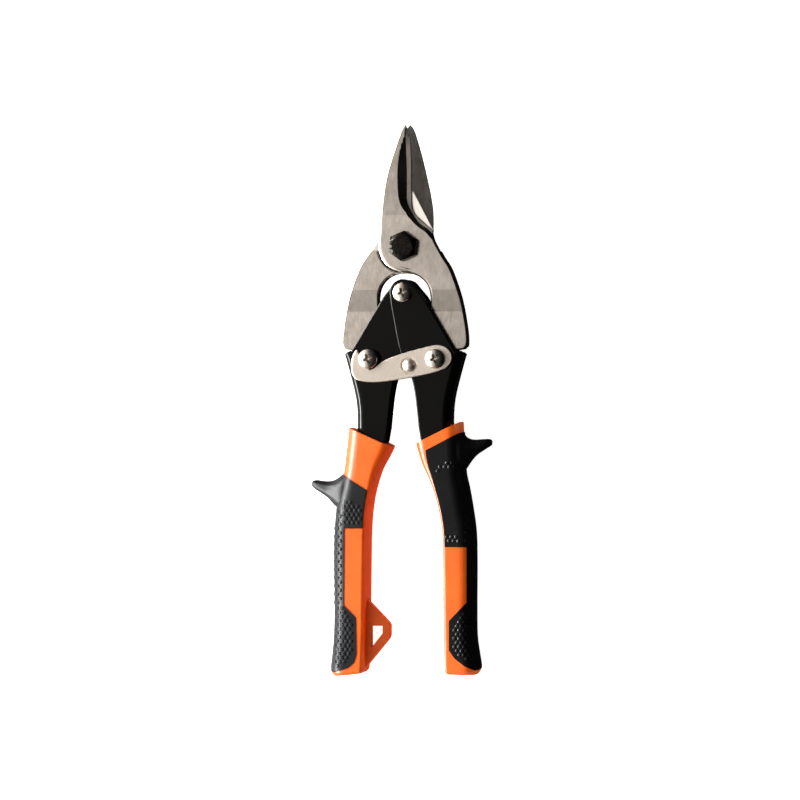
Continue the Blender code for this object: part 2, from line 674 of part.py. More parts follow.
def grip_skin(name, lines, skin, guard):
    """The soft overmould: a shell around the core, with the finger guard."""
    made = keep_inside(grip_body(name, lines, RUBBER), prism("skin_area", skin, -30, 30))
    cut(made, skin_bed(lines, SKIN))
    return fuse(made, prism("guard", guard, -GUARD_HALF, GUARD_HALF, RUBBER, 1.2, 2))


def along_inner(lines, top, low, distance):
    """Points beside the inner line of a grip, from the top height down to the low one."""
    inner = smooth(lines["inner"], 2)
    top, low = (y for _, y in fitted([(0.0, top), (0.0, low)]))
    heights = [top] + [y for _, y in inner if low < y < top] + [low]
    return [(at_height(inner, y) + distance, y) for y in heights]


def left_grip():
    """Collar, window and foot stay hard; the guard sits below the collar."""
    lines = LEFT_LINES
    skin = fitted([(50.0, -96.0), (27.0, -103.6)]) + along_inner(lines, -110.6, -127.8, BORDER)
    skin += fitted([(26.2, -127.8), (26.4, -162.5), (20.9, -168.0), (20.6, -185.0), (21.8, -188.6),
                    (24.6, -191.0), (31.0, -193.0), (50.0, -194.0)])
    guard = fitted([(27.6, -104.6), (31.2, -106.7), (36.0, -106.9), (42.0, -106.1), (42.8, -107.2),
                    (42.0, -109.0), (36.0, -112.6), (33.0, -115.6), (31.0, -120.0), (28.6, -119.0)])
    core = grip_core("left_grip_core", lines, skin, INNER_EAR + EAR)
    tab = fitted([(20.0, -157.4), (17.0, -160.4), (7.2, -170.6), (6.6, -171.8), (6.6, -176.6), (7.2, -178.0),
                  (17.8, -191.0), (20.0, -190.0)])
    eye = fitted([(15.4, -172.2), (10.2, -172.2), (10.2, -175.6), (15.4, -182.2)])
    fuse(core, prism("tab", tab, -TAB_HALF, TAB_HALF, ORANGE, 0.5, 1))
    cut(core, prism("eye", eye, -20, 20))
    pieces = [core, grip_skin("left_grip_skin", lines, skin, guard)]
    for piece in pieces:
        piece.data.transform(Matrix.Rotation(math.pi, 4, "Y"))
    return pieces


def right_grip():
    """A thin hard rim at the mouth; the guard sits right below it."""
    lines = RIGHT_LINES
    skin = fitted([(50.0, -72.0), (27.0, -84.0)]) + along_inner(lines, -92.4, -136.0, BORDER)
    skin += fitted([(29.5, -136.0), (29.5, -161.0), (21.6, -169.3), (21.6, -182.5), (24.2, -186.2),
                    (28.6, -189.6), (33.0, -191.6), (50.0, -192.0)])
    guard = fitted([(26.3, -84.9), (28.2, -87.3), (32.0, -88.2), (38.6, -87.4), (39.6, -88.6), (38.8, -90.2),
                    (32.6, -94.0), (29.2, -96.8), (28.0, -102.0), (26.2, -101.0)])
    return [grip_core("right_grip_core", lines, skin, OUTER_EAR + EAR),
            grip_skin("right_grip_skin", lines, skin, guard)]


def build():
    for leftover in list(bpy.data.objects):
        bpy.data.objects.remove(leftover, do_unlink=True)
    main = pivot_empty("main_axis", MAIN)
    hang(main, pivot_bolt(), *pivot_stack(), front_jaw(), rear_jaw())
    left = pivot_empty("left_axis", LEFT, main)
    hang(left, handle("left_handle", -1, INNER_EAR, OPEN_RUN), *left_grip(), *left_pivot())
    right = pivot_empty("right_axis", RIGHT, main)
    hang(right, handle("right_handle", 1, OUTER_EAR, RUN), *right_grip(), *right_pivot())
    hang(right, *centre_pivot(), return_spring(), latch())


build()
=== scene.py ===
"""The looks of a pair of compound-action aviation snips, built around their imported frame.

Shapes are drawn in millimetres around the main pivot's middle plane, as their pieces were cut on a
bench, and settle() turns each into metres in its place.
"""
import json
import math

import bpy
from mathutils import Matrix, Vector
from mathutils.bvhtree import BVHTree

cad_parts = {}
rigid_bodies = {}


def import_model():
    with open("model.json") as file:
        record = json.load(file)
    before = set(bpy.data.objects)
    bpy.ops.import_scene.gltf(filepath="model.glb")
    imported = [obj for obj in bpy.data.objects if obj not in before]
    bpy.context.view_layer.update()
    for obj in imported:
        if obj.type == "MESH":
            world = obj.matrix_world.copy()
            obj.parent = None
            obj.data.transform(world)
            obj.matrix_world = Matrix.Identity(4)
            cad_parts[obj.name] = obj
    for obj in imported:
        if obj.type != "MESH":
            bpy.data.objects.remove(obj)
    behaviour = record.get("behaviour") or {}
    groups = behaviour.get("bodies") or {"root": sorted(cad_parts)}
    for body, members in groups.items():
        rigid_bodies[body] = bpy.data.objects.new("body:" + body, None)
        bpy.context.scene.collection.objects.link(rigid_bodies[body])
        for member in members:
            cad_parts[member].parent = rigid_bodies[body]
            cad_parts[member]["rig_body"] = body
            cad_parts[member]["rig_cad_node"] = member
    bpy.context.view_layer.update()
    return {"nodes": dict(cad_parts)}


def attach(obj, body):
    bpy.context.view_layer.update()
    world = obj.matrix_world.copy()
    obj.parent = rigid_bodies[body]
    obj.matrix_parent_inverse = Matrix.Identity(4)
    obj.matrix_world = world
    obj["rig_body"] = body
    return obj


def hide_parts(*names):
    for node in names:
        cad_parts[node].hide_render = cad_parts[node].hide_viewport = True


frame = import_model()

MM = 0.001
MID_Z = 12.3                                # height of the jaws' middle plane above the table
MAIN, CENTRE = (0.0, 0.0), (0.0, -21.1)     # the bolt and the handles' common pivot
LEFT, RIGHT = (-15.3, -51.1), (15.3, -51.1)  # the pivots in the jaws' tails
JAW_HALF, TAIL_HALF = 4.4, 3.6              # half the forging's thickness at the boss and the tail
GAP, RUN = 0.3, 0.3                         # free play between faces, and round a pin
EAR = 1.8                                   # the handles' sheet
INNER_EAR, OUTER_EAR = 4.7, 6.8             # the ears' inner faces, left and right handle
LATCH_LOW, LATCH_HIGH = 9.7, 11.7
TIP_Y, BLADE_ROOT = 55.2, 14.2
RAMP_TOP, RAMP_LOW = -19.8, -29.6           # where the boss slopes down to the tail
HUB_R, EAR_R, LAP_R = 6.3, 6.1, 12.9
BOLT_R, BARREL_R = 4.0, 2.9
HEAD_R, HEAD_HEIGHT, CROSS_TURN = 4.45, 2.5, 20.0
GRIP_HALF = 12.3
DOUBLED, FRAME_DOUBLED = 1e-4, 1e-6         # points nearer than this, in mm and in m, are one
FLAT, BROAD_FACE = 0.9, 0.97                # a level face's normal rises at least this much
FACET_TURN = (1.5, 9.0)                     # degrees between two ground faces that stay crisp
BEYOND = 30.0                               # far enough to clear every piece


# ---- drawing lines -----------------------------------------------------------------------
def arc(centre, radius, start, end, steps=16):
    """Points on a circle from the start to the end, in degrees."""
    turns = [math.radians(start + (end - start) * i / steps) for i in range(steps + 1)]
    return [(centre[0] + radius * math.cos(a), centre[1] + radius * math.sin(a)) for a in turns]


def smooth(points, steps=5):
    """A soft curve through the points, with steps pieces in each span."""
    ends = [points[0]] + list(points) + [points[-1]]
    curve = []
    for i in range(1, len(ends) - 2):
        a, b, c, d = ends[i - 1:i + 3]
        for j in range(steps):
            t = j / steps
            curve.append(tuple(
                0.5 * (2 * b[k] + (c[k] - a[k]) * t
                       + (2 * a[k] - 5 * b[k] + 4 * c[k] - d[k]) * t * t
                       + (3 * b[k] - a[k] - 3 * c[k] + d[k]) * t ** 3) for k in range(len(b))))
    return curve + [tuple(points[-1])]


def at_height(line, y):
    """Where a side line, listed from top to bottom, stands at the height y."""
    for (xa, ya), (xb, yb) in zip(line, line[1:]):
        if ya >= y >= yb:
            return xa + (xb - xa) * (ya - y) / (ya - yb)
    return line[0][0] if y > line[0][1] else line[-1][0]


# ---- bench work --------------------------------------------------------------------------
def clear():
    bpy.ops.object.select_all(action="DESELECT")


def work_on(piece):
    clear()
    piece.select_set(True)
    bpy.context.view_layer.objects.active = piece


def edit(piece):
    """Open the piece with all of it selected, in edge mode."""
    work_on(piece)
    bpy.ops.object.mode_set(mode="EDIT")
    bpy.ops.mesh.select_mode(type="EDGE")
    bpy.ops.mesh.select_all(action="SELECT")


def close():
    bpy.ops.object.mode_set(mode="OBJECT")


def apply(piece, step):
    work_on(piece)
    bpy.ops.object.modifier_apply(modifier=step.name)


def named(name):
    made = bpy.context.object
    made.name = made.data.name = name
    return made


def plate(name, outline, low, high):
    """Saw a blank along the outline, from the low face up to the high one."""
    clear()
    bpy.ops.mesh.primitive_circle_add(vertices=len(outline), fill_type="NGON")
    made = named(name)
    for corner, (x, y) in zip(made.data.vertices, outline):
        corner.co = (x, y, low)
    edit(made)
    bpy.ops.mesh.extrude_region_move(TRANSFORM_OT_translate={"value": (0, 0, high - low)})
    bpy.ops.mesh.select_all(action="SELECT")
    bpy.ops.mesh.normals_make_consistent(inside=False)
    close()
    return made


def rolled(name, sections, cap=True):
    """Roll a sheet into a tube through closed sections of (x, y, z) points, and close its ends."""
    around, along = len(sections[0]), len(sections)
    clear()
    bpy.ops.mesh.primitive_grid_add(x_subdivisions=around, y_subdivisions=along - 1)
    made = named(name)
    for i, corner in enumerate(made.data.vertices):
        corner.co = sections[i // (around + 1)][i % (around + 1) % around]
    edit(made)
    bpy.ops.mesh.remove_doubles(threshold=DOUBLED)
    if cap:
        bpy.ops.mesh.fill_holes(sides=0)
    bpy.ops.mesh.select_all(action="SELECT")
    bpy.ops.mesh.normals_make_consistent(inside=False)
    close()
    return made


def turned(name, centre, profile, steps=48):
    """Turn a (radius, height) profile on the lathe, around a pivot's axis."""
    sections = [[(centre[0] + r * math.cos(a), centre[1] + r * math.sin(a), z)
                 for a in (2 * math.pi * i / steps for i in range(steps))] for r, z in profile]
    return rolled(name, sections, cap=False)


def normals_beside(mesh):
    """The normals of the faces that meet at each edge."""
    beside = {}
    for face in mesh.polygons:
        for key in face.edge_keys:
            beside.setdefault(key, []).append(face.normal.copy())
    return beside


def on_rim(normals):
    """True where a flat face meets the sawn wall."""
    flat = [abs(n.z) > FLAT for n in normals]
    return len(normals) == 2 and any(flat) and not all(flat)


def round_rim(piece, width_at, widest, segments=4):
    """Round the rims by width_at(middle) millimetres; none where it gives nothing."""
    mesh = piece.data
    beside = normals_beside(mesh)
    weights = mesh.attributes.new("bevel_weight_edge", "FLOAT", "EDGE")
    for edge in mesh.edges:
        if on_rim(beside[edge.key]):
            a, b = (mesh.vertices[i].co for i in edge.vertices)
            weights.data[edge.index].value = width_at((a + b) / 2) / widest
    step = piece.modifiers.new("rim", "BEVEL")
    step.limit_method = "WEIGHT"
    step.width = widest
    step.segments = segments
    step.use_clamp_overlap = False
    apply(piece, step)


def split_facets(piece):
    edit(piece)
    bpy.ops.mesh.quads_convert_to_tris()
    close()


def combine(piece, operation, *tools):
    """Cut, fuse or keep the shared part of a piece and each tool, and put the tool away."""
    for tool in tools:
        split_facets(piece)
        split_facets(tool)
        step = piece.modifiers.new(operation, "BOOLEAN")
        step.operation = operation
        step.solver = "EXACT"
        step.object = tool
        apply(piece, step)
        bpy.data.objects.remove(tool, do_unlink=True)


def cut(piece, *tools):
    combine(piece, "DIFFERENCE", *tools)


def fuse(piece, *tools):
    combine(piece, "UNION", *tools)


def hole(centre, radius):
    """A drill that goes right through every piece at a pivot."""
    drill = [(0.0, -BEYOND), (radius, -BEYOND), (radius, BEYOND), (0.0, BEYOND)]
    return turned("hole", centre, drill, 40)


def turn_over(piece):
    """Turn a piece half a turn about the tool's long axis."""
    piece.data.transform(Matrix.Rotation(math.pi, 4, "Y"))


def clean(piece, flatness=0.4):
    """Take out the doubled points and the needless lines that sawing left."""
    edit(piece)
    bpy.ops.mesh.remove_doubles(threshold=DOUBLED)
    if flatness:
        bpy.ops.mesh.dissolve_limited(angle_limit=math.radians(flatness))
    bpy.ops.mesh.select_all(action="SELECT")
    bpy.ops.mesh.normals_make_consistent(inside=False)
    close()


def settle(piece, body, node, material, crease=32.0, weigh=True):
    """Bring a finished piece to metres in its place, give it its finish, and let it ride."""
    piece.data.transform(Matrix.Translation((0, 0, MID_Z * MM)) @ Matrix.Scale(MM, 4))
    dress(piece, material, crease, weigh)
    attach(piece, body)
    if node:
        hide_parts(node)


def keep_facets(piece):
    """Keep the shallow edges between two broad ground faces crisp."""
    beside = normals_beside(piece.data)
    least, most = FACET_TURN
    for edge in piece.data.edges:
        pair = beside.get(edge.key, ())
        if len(pair) == 2 and min(abs(normal.z) for normal in pair) > BROAD_FACE:
            if least < math.degrees(pair[0].angle(pair[1], 0.0)) < most:
                edge.use_edge_sharp = True


def dress(piece, material, crease, weigh=True):
    """Give a piece its finish, and shade it smooth up to the crease angle."""
    piece.data.materials.clear()
    piece.data.materials.append(material)
    work_on(piece)
    bpy.ops.object.shade_smooth_by_angle(angle=math.radians(crease))
    if material is STEEL:
        keep_facets(piece)
    if weigh:
        step = piece.modifiers.new("flat_faces", "WEIGHTED_NORMAL")
        step.keep_sharp = True
        apply(piece, step)


def refined(node, body, material, crease=32.0):
    """A cleaned copy of a frame piece, which stands for it."""
    original = frame["nodes"][node]
    piece = original.copy()
    piece.data = original.data.copy()
    piece.name = piece.data.name = "fine_" + node
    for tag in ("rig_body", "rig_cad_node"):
        if tag in piece:
            del piece[tag]
    bpy.context.scene.collection.objects.link(piece)
    piece.parent = None
    edit(piece)
    bpy.ops.mesh.remove_doubles(threshold=FRAME_DOUBLED)
    close()
    dress(piece, material, crease)
    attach(piece, body)
    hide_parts(node)


# ---- finishes ----------------------------------------------------------------------------
def linear(code):
    """A screen colour's hex code as linear light."""
    parts = [int(code[i:i + 2], 16) / 255 for i in (1, 3, 5)]
    light = [v / 12.92 if v <= 0.04045 else ((v + 0.055) / 1.055) ** 2.4 for v in parts]
    return (*light, 1.0)


def node(tree, kind, settings, links=()):
    """Add a node; a setting is a property or an input's value, a link is (input, output)."""
    made = tree.nodes.new(kind)
    for key, value in settings.items():
        if isinstance(key, str) and hasattr(made, key):
            setattr(made, key, value)
        else:
            made.inputs[key].default_value = value
    for key, output in links:
        tree.links.new(made.inputs[key], output)
    return made


def finish_of(name, settings):
    """A new finish, with its shader's plain values set; gives it, its tree and its shader."""
    made = bpy.data.materials.new(name)
    made.use_nodes = True
    tree = made.node_tree
    shader = tree.nodes["Principled BSDF"]
    for key, value in settings.items():
        shader.inputs[key].default_value = value
    return made, tree, shader


# The grains of the mouldings, the rubber and the plating are drawn near half a millimetre,
# coarser than real ones, so that they show.
def speckle(tree, size, stretch=(1.0, 1.0, 1.0), turn=0.0, detail=3.0):
    """Noise whose grains are size millimetres, drawn out by stretch after a turn about Z."""
    where = node(tree, "ShaderNodeTexCoord", {})
    placed = node(tree, "ShaderNodeMapping",
                  {"Rotation": (0.0, 0.0, math.radians(turn)), "Scale": stretch},
                  [("Vector", where.outputs["Object"])])
    return node(tree, "ShaderNodeTexNoise", {"Scale": 1.0 / (size * MM), "Detail": detail},
                [("Vector", placed.outputs["Vector"])]).outputs["Fac"]


def ramp(tree, value, start, end, low, high, kind="LINEAR"):
    """Bring a value from the range start..end to the range low..high."""
    settings = {"interpolation_type": kind, "From Min": start, "From Max": end,
                "To Min": low, "To Max": high}
    return node(tree, "ShaderNodeMapRange", settings, [("Value", value)]).outputs["Result"]


NOISE_MIDDLE = (0.3, 0.7)


def spread(tree, noise, low, high):
    """Bring noise, which seldom leaves its middle, to the range low..high."""
    return ramp(tree, noise, *NOISE_MIDDLE, low, high)


def blend(tree, share, one, two):
    return node(tree, "ShaderNodeMix", {"data_type": "RGBA", 6: linear(one), 7: linear(two)},
                [(0, share)]).outputs[2]


def vary(tree, shader, tone, colours, wear, roughness):
    """Vary the colour with one noise, and the roughness with the same or another."""
    colour = blend(tree, spread(tree, tone, 0.0, 1.0), *colours)
    tree.links.new(shader.inputs["Base Color"], colour)
    tree.links.new(shader.inputs["Roughness"], spread(tree, wear, *roughness))


def relief(tree, shader, value, strength, depth):
    """Let noise stand out of the surface by depth millimetres."""
    bump = node(tree, "ShaderNodeBump", {"Strength": strength, "Distance": depth * MM},
                [("Height", value)])
    tree.links.new(shader.inputs["Normal"], bump.outputs["Normal"])


PAINTED_LAP_HIGHLIGHT = (0.7, 1.0)      # lapped faces up to this far from the jaws' middle plane get a painted highlight, a near-white colour; plain past that


def ground_steel():
    """Forged tool steel, ground flat: warm grey, with fine slanting wheel marks and a soft mottle.

    The wheel marks are drawn coarser than real grit, so that they show. The lapped faces that lie
    next to the other jaw carry a painted highlight: their colour is painted near white.
    """
    made, tree, shader = finish_of("ground_forged_steel", {"Metallic": 1.0})
    marks = speckle(tree, 0.4, (1.0, 0.12, 1.0), 40.0)
    mottle = speckle(tree, 2.6, (1.0, 0.55, 1.0), -45.0, 5.0)
    forged = blend(tree, spread(tree, mottle, 0.0, 1.0), "#B8AEA4", "#CEC4B9")
    where = node(tree, "ShaderNodeTexCoord", {})
    height = node(tree, "ShaderNodeSeparateXYZ", {}, [("Vector", where.outputs["Object"])])
    off = node(tree, "ShaderNodeMath", {"operation": "SUBTRACT", 1: MID_Z * MM},
               [(0, height.outputs["Z"])])
    far = node(tree, "ShaderNodeMath", {"operation": "ABSOLUTE"}, [(0, off.outputs[0])])
    # painted highlight: faces near the middle plane are painted near white for the light they
    # catch
    last, plain = PAINTED_LAP_HIGHLIGHT
    painted_lap_highlight = ramp(tree, far.outputs[0], last * MM, plain * MM, 1.0, 0.0)
    bare = node(tree, "ShaderNodeMix", {"data_type": "RGBA", 7: linear("#EFE8E0")},
                [(0, painted_lap_highlight), (6, forged)])
    tree.links.new(shader.inputs["Base Color"], bare.outputs[2])
    tree.links.new(shader.inputs["Roughness"], spread(tree, marks, 0.17, 0.26))
    relief(tree, shader, marks, 0.12, 0.015)
    return made


def stove_enamel():
    """Pressed sheet steel in black stove enamel: deep black, glossy, with a faint orange peel."""
    made, tree, shader = finish_of("black_stove_enamel", {
        "Base Color": linear("#030302"), "IOR": 1.5, "Specular IOR Level": 0.09})
    peel = speckle(tree, 2.5, detail=1.0)
    tree.links.new(shader.inputs["Roughness"], spread(tree, peel, 0.07, 0.11))
    relief(tree, shader, peel, 0.05, 0.02)
    return made


def black_oxide():
    """Chemically blackened bolt steel: dark satin with worn, greyer high spots."""
    made, tree, shader = finish_of("blackened_bolt_steel", {"Metallic": 1.0})
    wear = speckle(tree, 0.8)
    vary(tree, shader, wear, ("#171614", "#24211E"), wear, (0.24, 0.36))
    return made


def nickel():
    """Nickel-plated steel, barrel polished: warm and bright, with a fine satin grain."""
    made, tree, shader = finish_of("barrel_polished_nickel", {"Metallic": 1.0})
    grain = speckle(tree, 0.5)
    vary(tree, shader, grain, ("#CBBFB2", "#DDD3C8"), grain, (0.16, 0.26))
    relief(tree, shader, grain, 0.06, 0.02)
    return made


def satin_nickel():
    """Nickel-plated stamped sheet, left satin by the tumbler: pale, warm and evenly grained."""
    made, tree, shader = finish_of("tumbled_nickel_sheet", {"Metallic": 1.0})
    grain = speckle(tree, 0.6)
    vary(tree, shader, grain, ("#B5A99D", "#C8BDB1"), grain, (0.3, 0.42))
    relief(tree, shader, grain, 0.15, 0.02)
    return made


def orange_shell():
    """Injection-moulded polypropylene: warm orange, satin, with a fine spark-eroded texture."""
    made, tree, shader = finish_of("moulded_orange_polypropylene", {
        "IOR": 1.49, "Specular IOR Level": 0.25, "Subsurface Weight": 0.08,
        "Subsurface Radius": (1.0, 0.3, 0.1), "Subsurface Scale": MM})
    flow = speckle(tree, 14.0, detail=2.0)
    grain = speckle(tree, 0.5)
    vary(tree, shader, flow, ("#D2540C", "#DA5C12"), grain, (0.34, 0.44))
    relief(tree, shader, grain, 0.12, 0.02)
    return made


def soft_skin(name, colours, roughness):
    """Over-moulded thermoplastic rubber: near black, soft in its gloss, with a fine matt grain."""
    made, tree, shader = finish_of(name, {"IOR": 1.5, "Specular IOR Level": 0.13})
    grain = speckle(tree, 0.45)
    haze = speckle(tree, 9.0, detail=2.0)
    vary(tree, shader, haze, colours, grain, roughness)
    relief(tree, shader, grain, 0.15, 0.03)
    return made


def nylon():
    """Turned natural nylon: milky, waxy and slightly see-through."""
    made, tree, shader = finish_of("natural_nylon", {
        "IOR": 1.53, "Subsurface Weight": 0.2, "Subsurface Scale": MM})
    haze = speckle(tree, 2.0)
    vary(tree, shader, haze, ("#C9C9C4", "#DADAD5"), haze, (0.4, 0.5))
    return made


def music_wire():
    """Drawn and oiled spring wire: grey steel with a fine drawn grain."""
    made, tree, shader = finish_of("drawn_spring_wire", {"Metallic": 1.0})
    lines = speckle(tree, 0.3)
    vary(tree, shader, lines, ("#77746F", "#8E8A84"), lines, (0.22, 0.34))
    return made


STEEL = ground_steel()
ENAMEL = stove_enamel()
OXIDE = black_oxide()
BRIGHT = nickel()
SATIN = satin_nickel()
ORANGE = orange_shell()
LEFT_SKIN = soft_skin("charcoal_soft_rubber", ("#0E0F11", "#151618"), (0.36, 0.46))
RIGHT_SKIN = soft_skin("black_soft_rubber", ("#050505", "#080808"), (0.3, 0.42))
NYLON = nylon()
WIRE = music_wire()


# ---- jaws --------------------------------------------------------------------------------
FRONT_OUTER = [(0.4, 55.2), (-1.3, 52.8), (-3.1, 49.6), (-6.9, 39.5), (-9.8, 27.8),
               (-11.3, 14.5), (-11.9, 3.0)]
REAR_OUTER = [(-2.0, 55.2), (-3.9, 52.6), (-6.0, 46.1), (-8.1, 38.3), (-11.2, 24.1),
              (-12.5, 14.5), (-12.4, 3.0)]
BOSS_LINE = [(-12.3, -2.2), (-9.9, -7.7), (-4.9, -11.5), (0.4, -12.3), (4.6, -12.9), (8.3, -15.0),
             (11.0, -18.6), (12.0, -24.0), (11.4, -32.0), (9.6, -44.0)]
TAIL_END = [(23.8, -47.2), (27.2, -46.7), (28.8, -45.2)]
TAIL_OUTER = [(28.9, -42.8), (28.3, -36.3), (25.9, -23.9), (21.4, -10.9), (17.7, -4.8)]
FRONT_TAIL = TAIL_OUTER + [(13.9, 2.2), (12.5, 6.8)]
REAR_TAIL = TAIL_OUTER + [(13.3, 1.3), (11.5, 6.9)]
THROAT = [(9.7, 9.4), (6.8, 12.1), (4.2, 14.6), (3.0, 17.6), (2.7, 22.0)]
CUTTING_EDGE = [(2.7, 34.0), (2.5, 42.3), (2.1, 47.5), (1.3, 51.5)]
# The hollow beside the edge, at stations down the blade: its crest on the face, then the two
# edges of its floor.
HOLLOW = [((0.9, 58.0), (1.3, 58.0), (2.0, 58.0)), ((-0.1, 51.3), (0.4, 51.2), (1.5, 51.3)),
          ((-2.3, 43.5), (0.5, 44.0), (2.5, 44.0)), ((-3.2, 34.0), (0.9, 34.0), (2.7, 34.0)),
          ((-3.1, 26.4), (0.9, 26.4), (2.7, 26.4)), ((-2.5, 21.2), (0.9, 21.5), (2.8, 22.0)),
          ((-0.6, 16.8), (2.0, 17.8), (3.3, 18.4)), ((5.4, 9.5), (6.1, 11.0), (7.0, 12.6)),
          ((9.9, 6.1), (10.8, 7.6), (11.9, 9.2)), ((14.5, 0.6), (16.0, 2.2), (17.4, 3.6))]
HOLLOW_FOOT, HOLLOW_EDGE = 1.6, 1.5         # heights of the floor's two edges
WHEEL_SPREAD = 1.5                          # how many floor widths past the edge it runs
HEEL = [(2.6, 26.6), (-3.6, 24.7), (-12.7, 7.3)]
HEEL_FACE = [(-3.8, 25.6), (-15.0, 4.2), (-8.6, 4.2), (0.3, 13.0), (0.6, 25.6)]
HEEL_SKIM = 0.02                            # what the heel face takes off at its line
RELIEF, HEEL_FALL = 0.11, 0.07              # slopes of the ground faces above and below the heel
# The blade's face steepens at each (height, slope), which adds to the ones before it.
FALL_STEP = 10.0
BLADE_FALL = [(BLADE_ROOT, 0.030), (BLADE_ROOT + FALL_STEP, 0.037),
              (BLADE_ROOT + 2 * FALL_STEP, 0.047), (BLADE_ROOT + 3 * FALL_STEP, 0.060)]
SHOULDER_TURN = 8.0
PIN_BOSS_R = 5.8                            # the thick pad round the pin in a jaw's tail
CLEAR = 1.0                                 # how far a cutter stands out of what it cuts
TIP_RIM, BACK_RIM, BOSS_RIM = 1.6, 1.4, 2.0  # the square tip's length; then rim roundings
BEND_RIM, TAIL_RIM, UNDER_RIM = 1.2, 0.8, 0.7
THROAT_LOW, BACK_LOW, TAPER_FROM = 6.0, -1.0, 44.0
BOSS_CORNER, BEND_CORNER = (7.0, -13.0), (13.0, -26.0)  # where each rounding gives way


def sloped(name, outline, low, high):
    """A block whose lower and upper faces are a height or a slope."""
    made = plate(name, outline, 0.0, 1.0)
    for corner in made.data.vertices:
        level = high if corner.co.z > 0.5 else low
        corner.co.z = level(corner.co.x, corner.co.y) if callable(level) else level
    return made


def thinned(y):
    """How far the blade's face has fallen at the height y; the fall steepens towards the tip."""
    last = BLADE_FALL[-1][0]
    return sum(slope * min(max(y - start, 0.0), FALL_STEP if start < last else 2 * FALL_STEP)
               for start, slope in BLADE_FALL)


def hollow_grinder():
    """The grinding wheel's path beside the cutting edge."""
    above = JAW_HALF + 2 * CLEAR
    flat = [sum(station, ()) for station in HOLLOW]
    sections = []
    for rx, ry, fx, fy, ex, ey in smooth(flat, 3):
        face = JAW_HALF - thinned(ry)
        rise = (above - face) / (face - HOLLOW_FOOT)
        crest = (rx + (rx - fx) * rise, ry + (ry - fy) * rise)
        outside = (ex + (ex - fx) * WHEEL_SPREAD, ey + (ey - fy) * WHEEL_SPREAD)
        sections.append([(*crest, above), (fx, fy, HOLLOW_FOOT), (ex, ey, HOLLOW_EDGE),
                         (*outside, HOLLOW_EDGE), (*outside, above)])
    return rolled("hollow", sections)


def lap_mill():
    """The half of the thickness that the other jaw takes up around the pivot and above it."""
    far = 3 * BEYOND
    turn = math.radians(SHOULDER_TURN)
    right = (far * math.cos(turn), -far * math.sin(turn))
    outline = [right, (far, far), (-far, far), (-right[0], right[1])]
    outline += arc(MAIN, LAP_R, 180 + SHOULDER_TURN, 360 - SHOULDER_TURN, 40)
    return plate("lap", outline, -JAW_HALF - CLEAR, GAP / 2)


def jaw_rim(middle):
    """How wide the forging's rim is rounded: broad on the blade's back and round the boss."""
    x, y, z = middle
    if y > TIP_Y - TIP_RIM or (x > 0.0 and y > THROAT_LOW):
        return 0.0
    if z < 0.0:
        return UNDER_RIM
    if x < 0.0 and y > BACK_LOW:
        return BACK_RIM if y < TAPER_FROM else BACK_RIM * (TIP_Y - y) / (TIP_Y - TAPER_FROM)
    for width, (right, low) in ((BOSS_RIM, BOSS_CORNER), (BEND_RIM, BEND_CORNER)):
        if x < right and y > low:
            return width
    return TAIL_RIM


def below_heel(x, y):
    """The face below the heel line falls away from that line."""
    (xa, ya), (xb, yb) = HEEL[1:]
    run = math.hypot(xb - xa, yb - ya)
    away = ((x - xa) * (ya - yb) + (y - ya) * (xb - xa)) / run
    return GAP / 2 - HEEL_SKIM + HEEL_FALL * away


def above_heel(x, y):
    """The face above the heel line falls away from the cutting edge."""
    return GAP / 2 + RELIEF * (HEEL[0][0] - x)


def jaw(name, outer, tail, heel=False):
    """A forging as it lies in front; the rear one is turned over afterwards."""
    outline = smooth(outer) + smooth(BOSS_LINE) + arc(RIGHT, HUB_R, 165, 325, 18) + TAIL_END
    outline += smooth(tail + THROAT + CUTTING_EDGE, 4)
    made = plate(name, outline, -JAW_HALF, JAW_HALF)
    round_rim(made, jaw_rim, BOSS_RIM)
    for y in (*(y for y, _ in BLADE_FALL), RAMP_TOP, RAMP_LOW):
        edit(made)
        bpy.ops.mesh.bisect(plane_co=(0, y, 0), plane_no=(0, 1, 0))
        close()
    fall = (JAW_HALF - TAIL_HALF) / (RAMP_TOP - RAMP_LOW)
    for corner in made.data.vertices:
        if corner.co.z > 0.0 and corner.co.y > BLADE_ROOT:
            corner.co.z -= thinned(corner.co.y)
        elif corner.co.y < RAMP_TOP:
            half = max(TAIL_HALF, JAW_HALF - fall * (RAMP_TOP - corner.co.y))
            corner.co.z *= half / JAW_HALF
    past_tip = TIP_Y + 5
    relief_face = HEEL + [(-BEYOND, HEEL[-1][1]), (-BEYOND, past_tip), (HEEL[0][0], past_tip)]
    cut(made, lap_mill(), hollow_grinder(),
        sloped("relief", relief_face, -JAW_HALF - CLEAR, above_heel))
    if heel:
        cut(made, sloped("heel_face", HEEL_FACE, -JAW_HALF - CLEAR, below_heel))
    fuse(made, turned("boss", RIGHT, [(0, -JAW_HALF), (PIN_BOSS_R, -JAW_HALF),
                                      (PIN_BOSS_R, JAW_HALF), (0, JAW_HALF)]))
    cut(made, hole(MAIN, BOLT_R + RUN), hole(RIGHT, BARREL_R + RUN))
    clean(made, 0.0)
    return made


front = jaw("front_blade_forging", FRONT_OUTER, FRONT_TAIL)
settle(front, "front_jaw", "front_jaw", STEEL, 24.0)
rear = jaw("rear_blade_forging", REAR_OUTER, REAR_TAIL, True)
turn_over(rear)
settle(rear, "rear_jaw", "rear_jaw", STEEL, 24.0)

# ---- bolt and hidden hardware ------------------------------------------------------------
refined("pivot_bolt", "pivot", OXIDE, 25.0)
refined("pivot_nut", "pivot", OXIDE, 25.0)
refined("pivot_washer", "pivot", BRIGHT)
refined("pivot_nut_insert", "pivot", NYLON)
refined("return_spring", "right_handle", WIRE, 60.0)
for spare in ("right_pivot_nut", "centre_pivot_nut", "latch_washer", "right_spacer_front",
              "right_spacer_back"):
    refined(spare, "right_handle", BRIGHT)
refined("left_pivot_nut", "left_handle", BRIGHT)


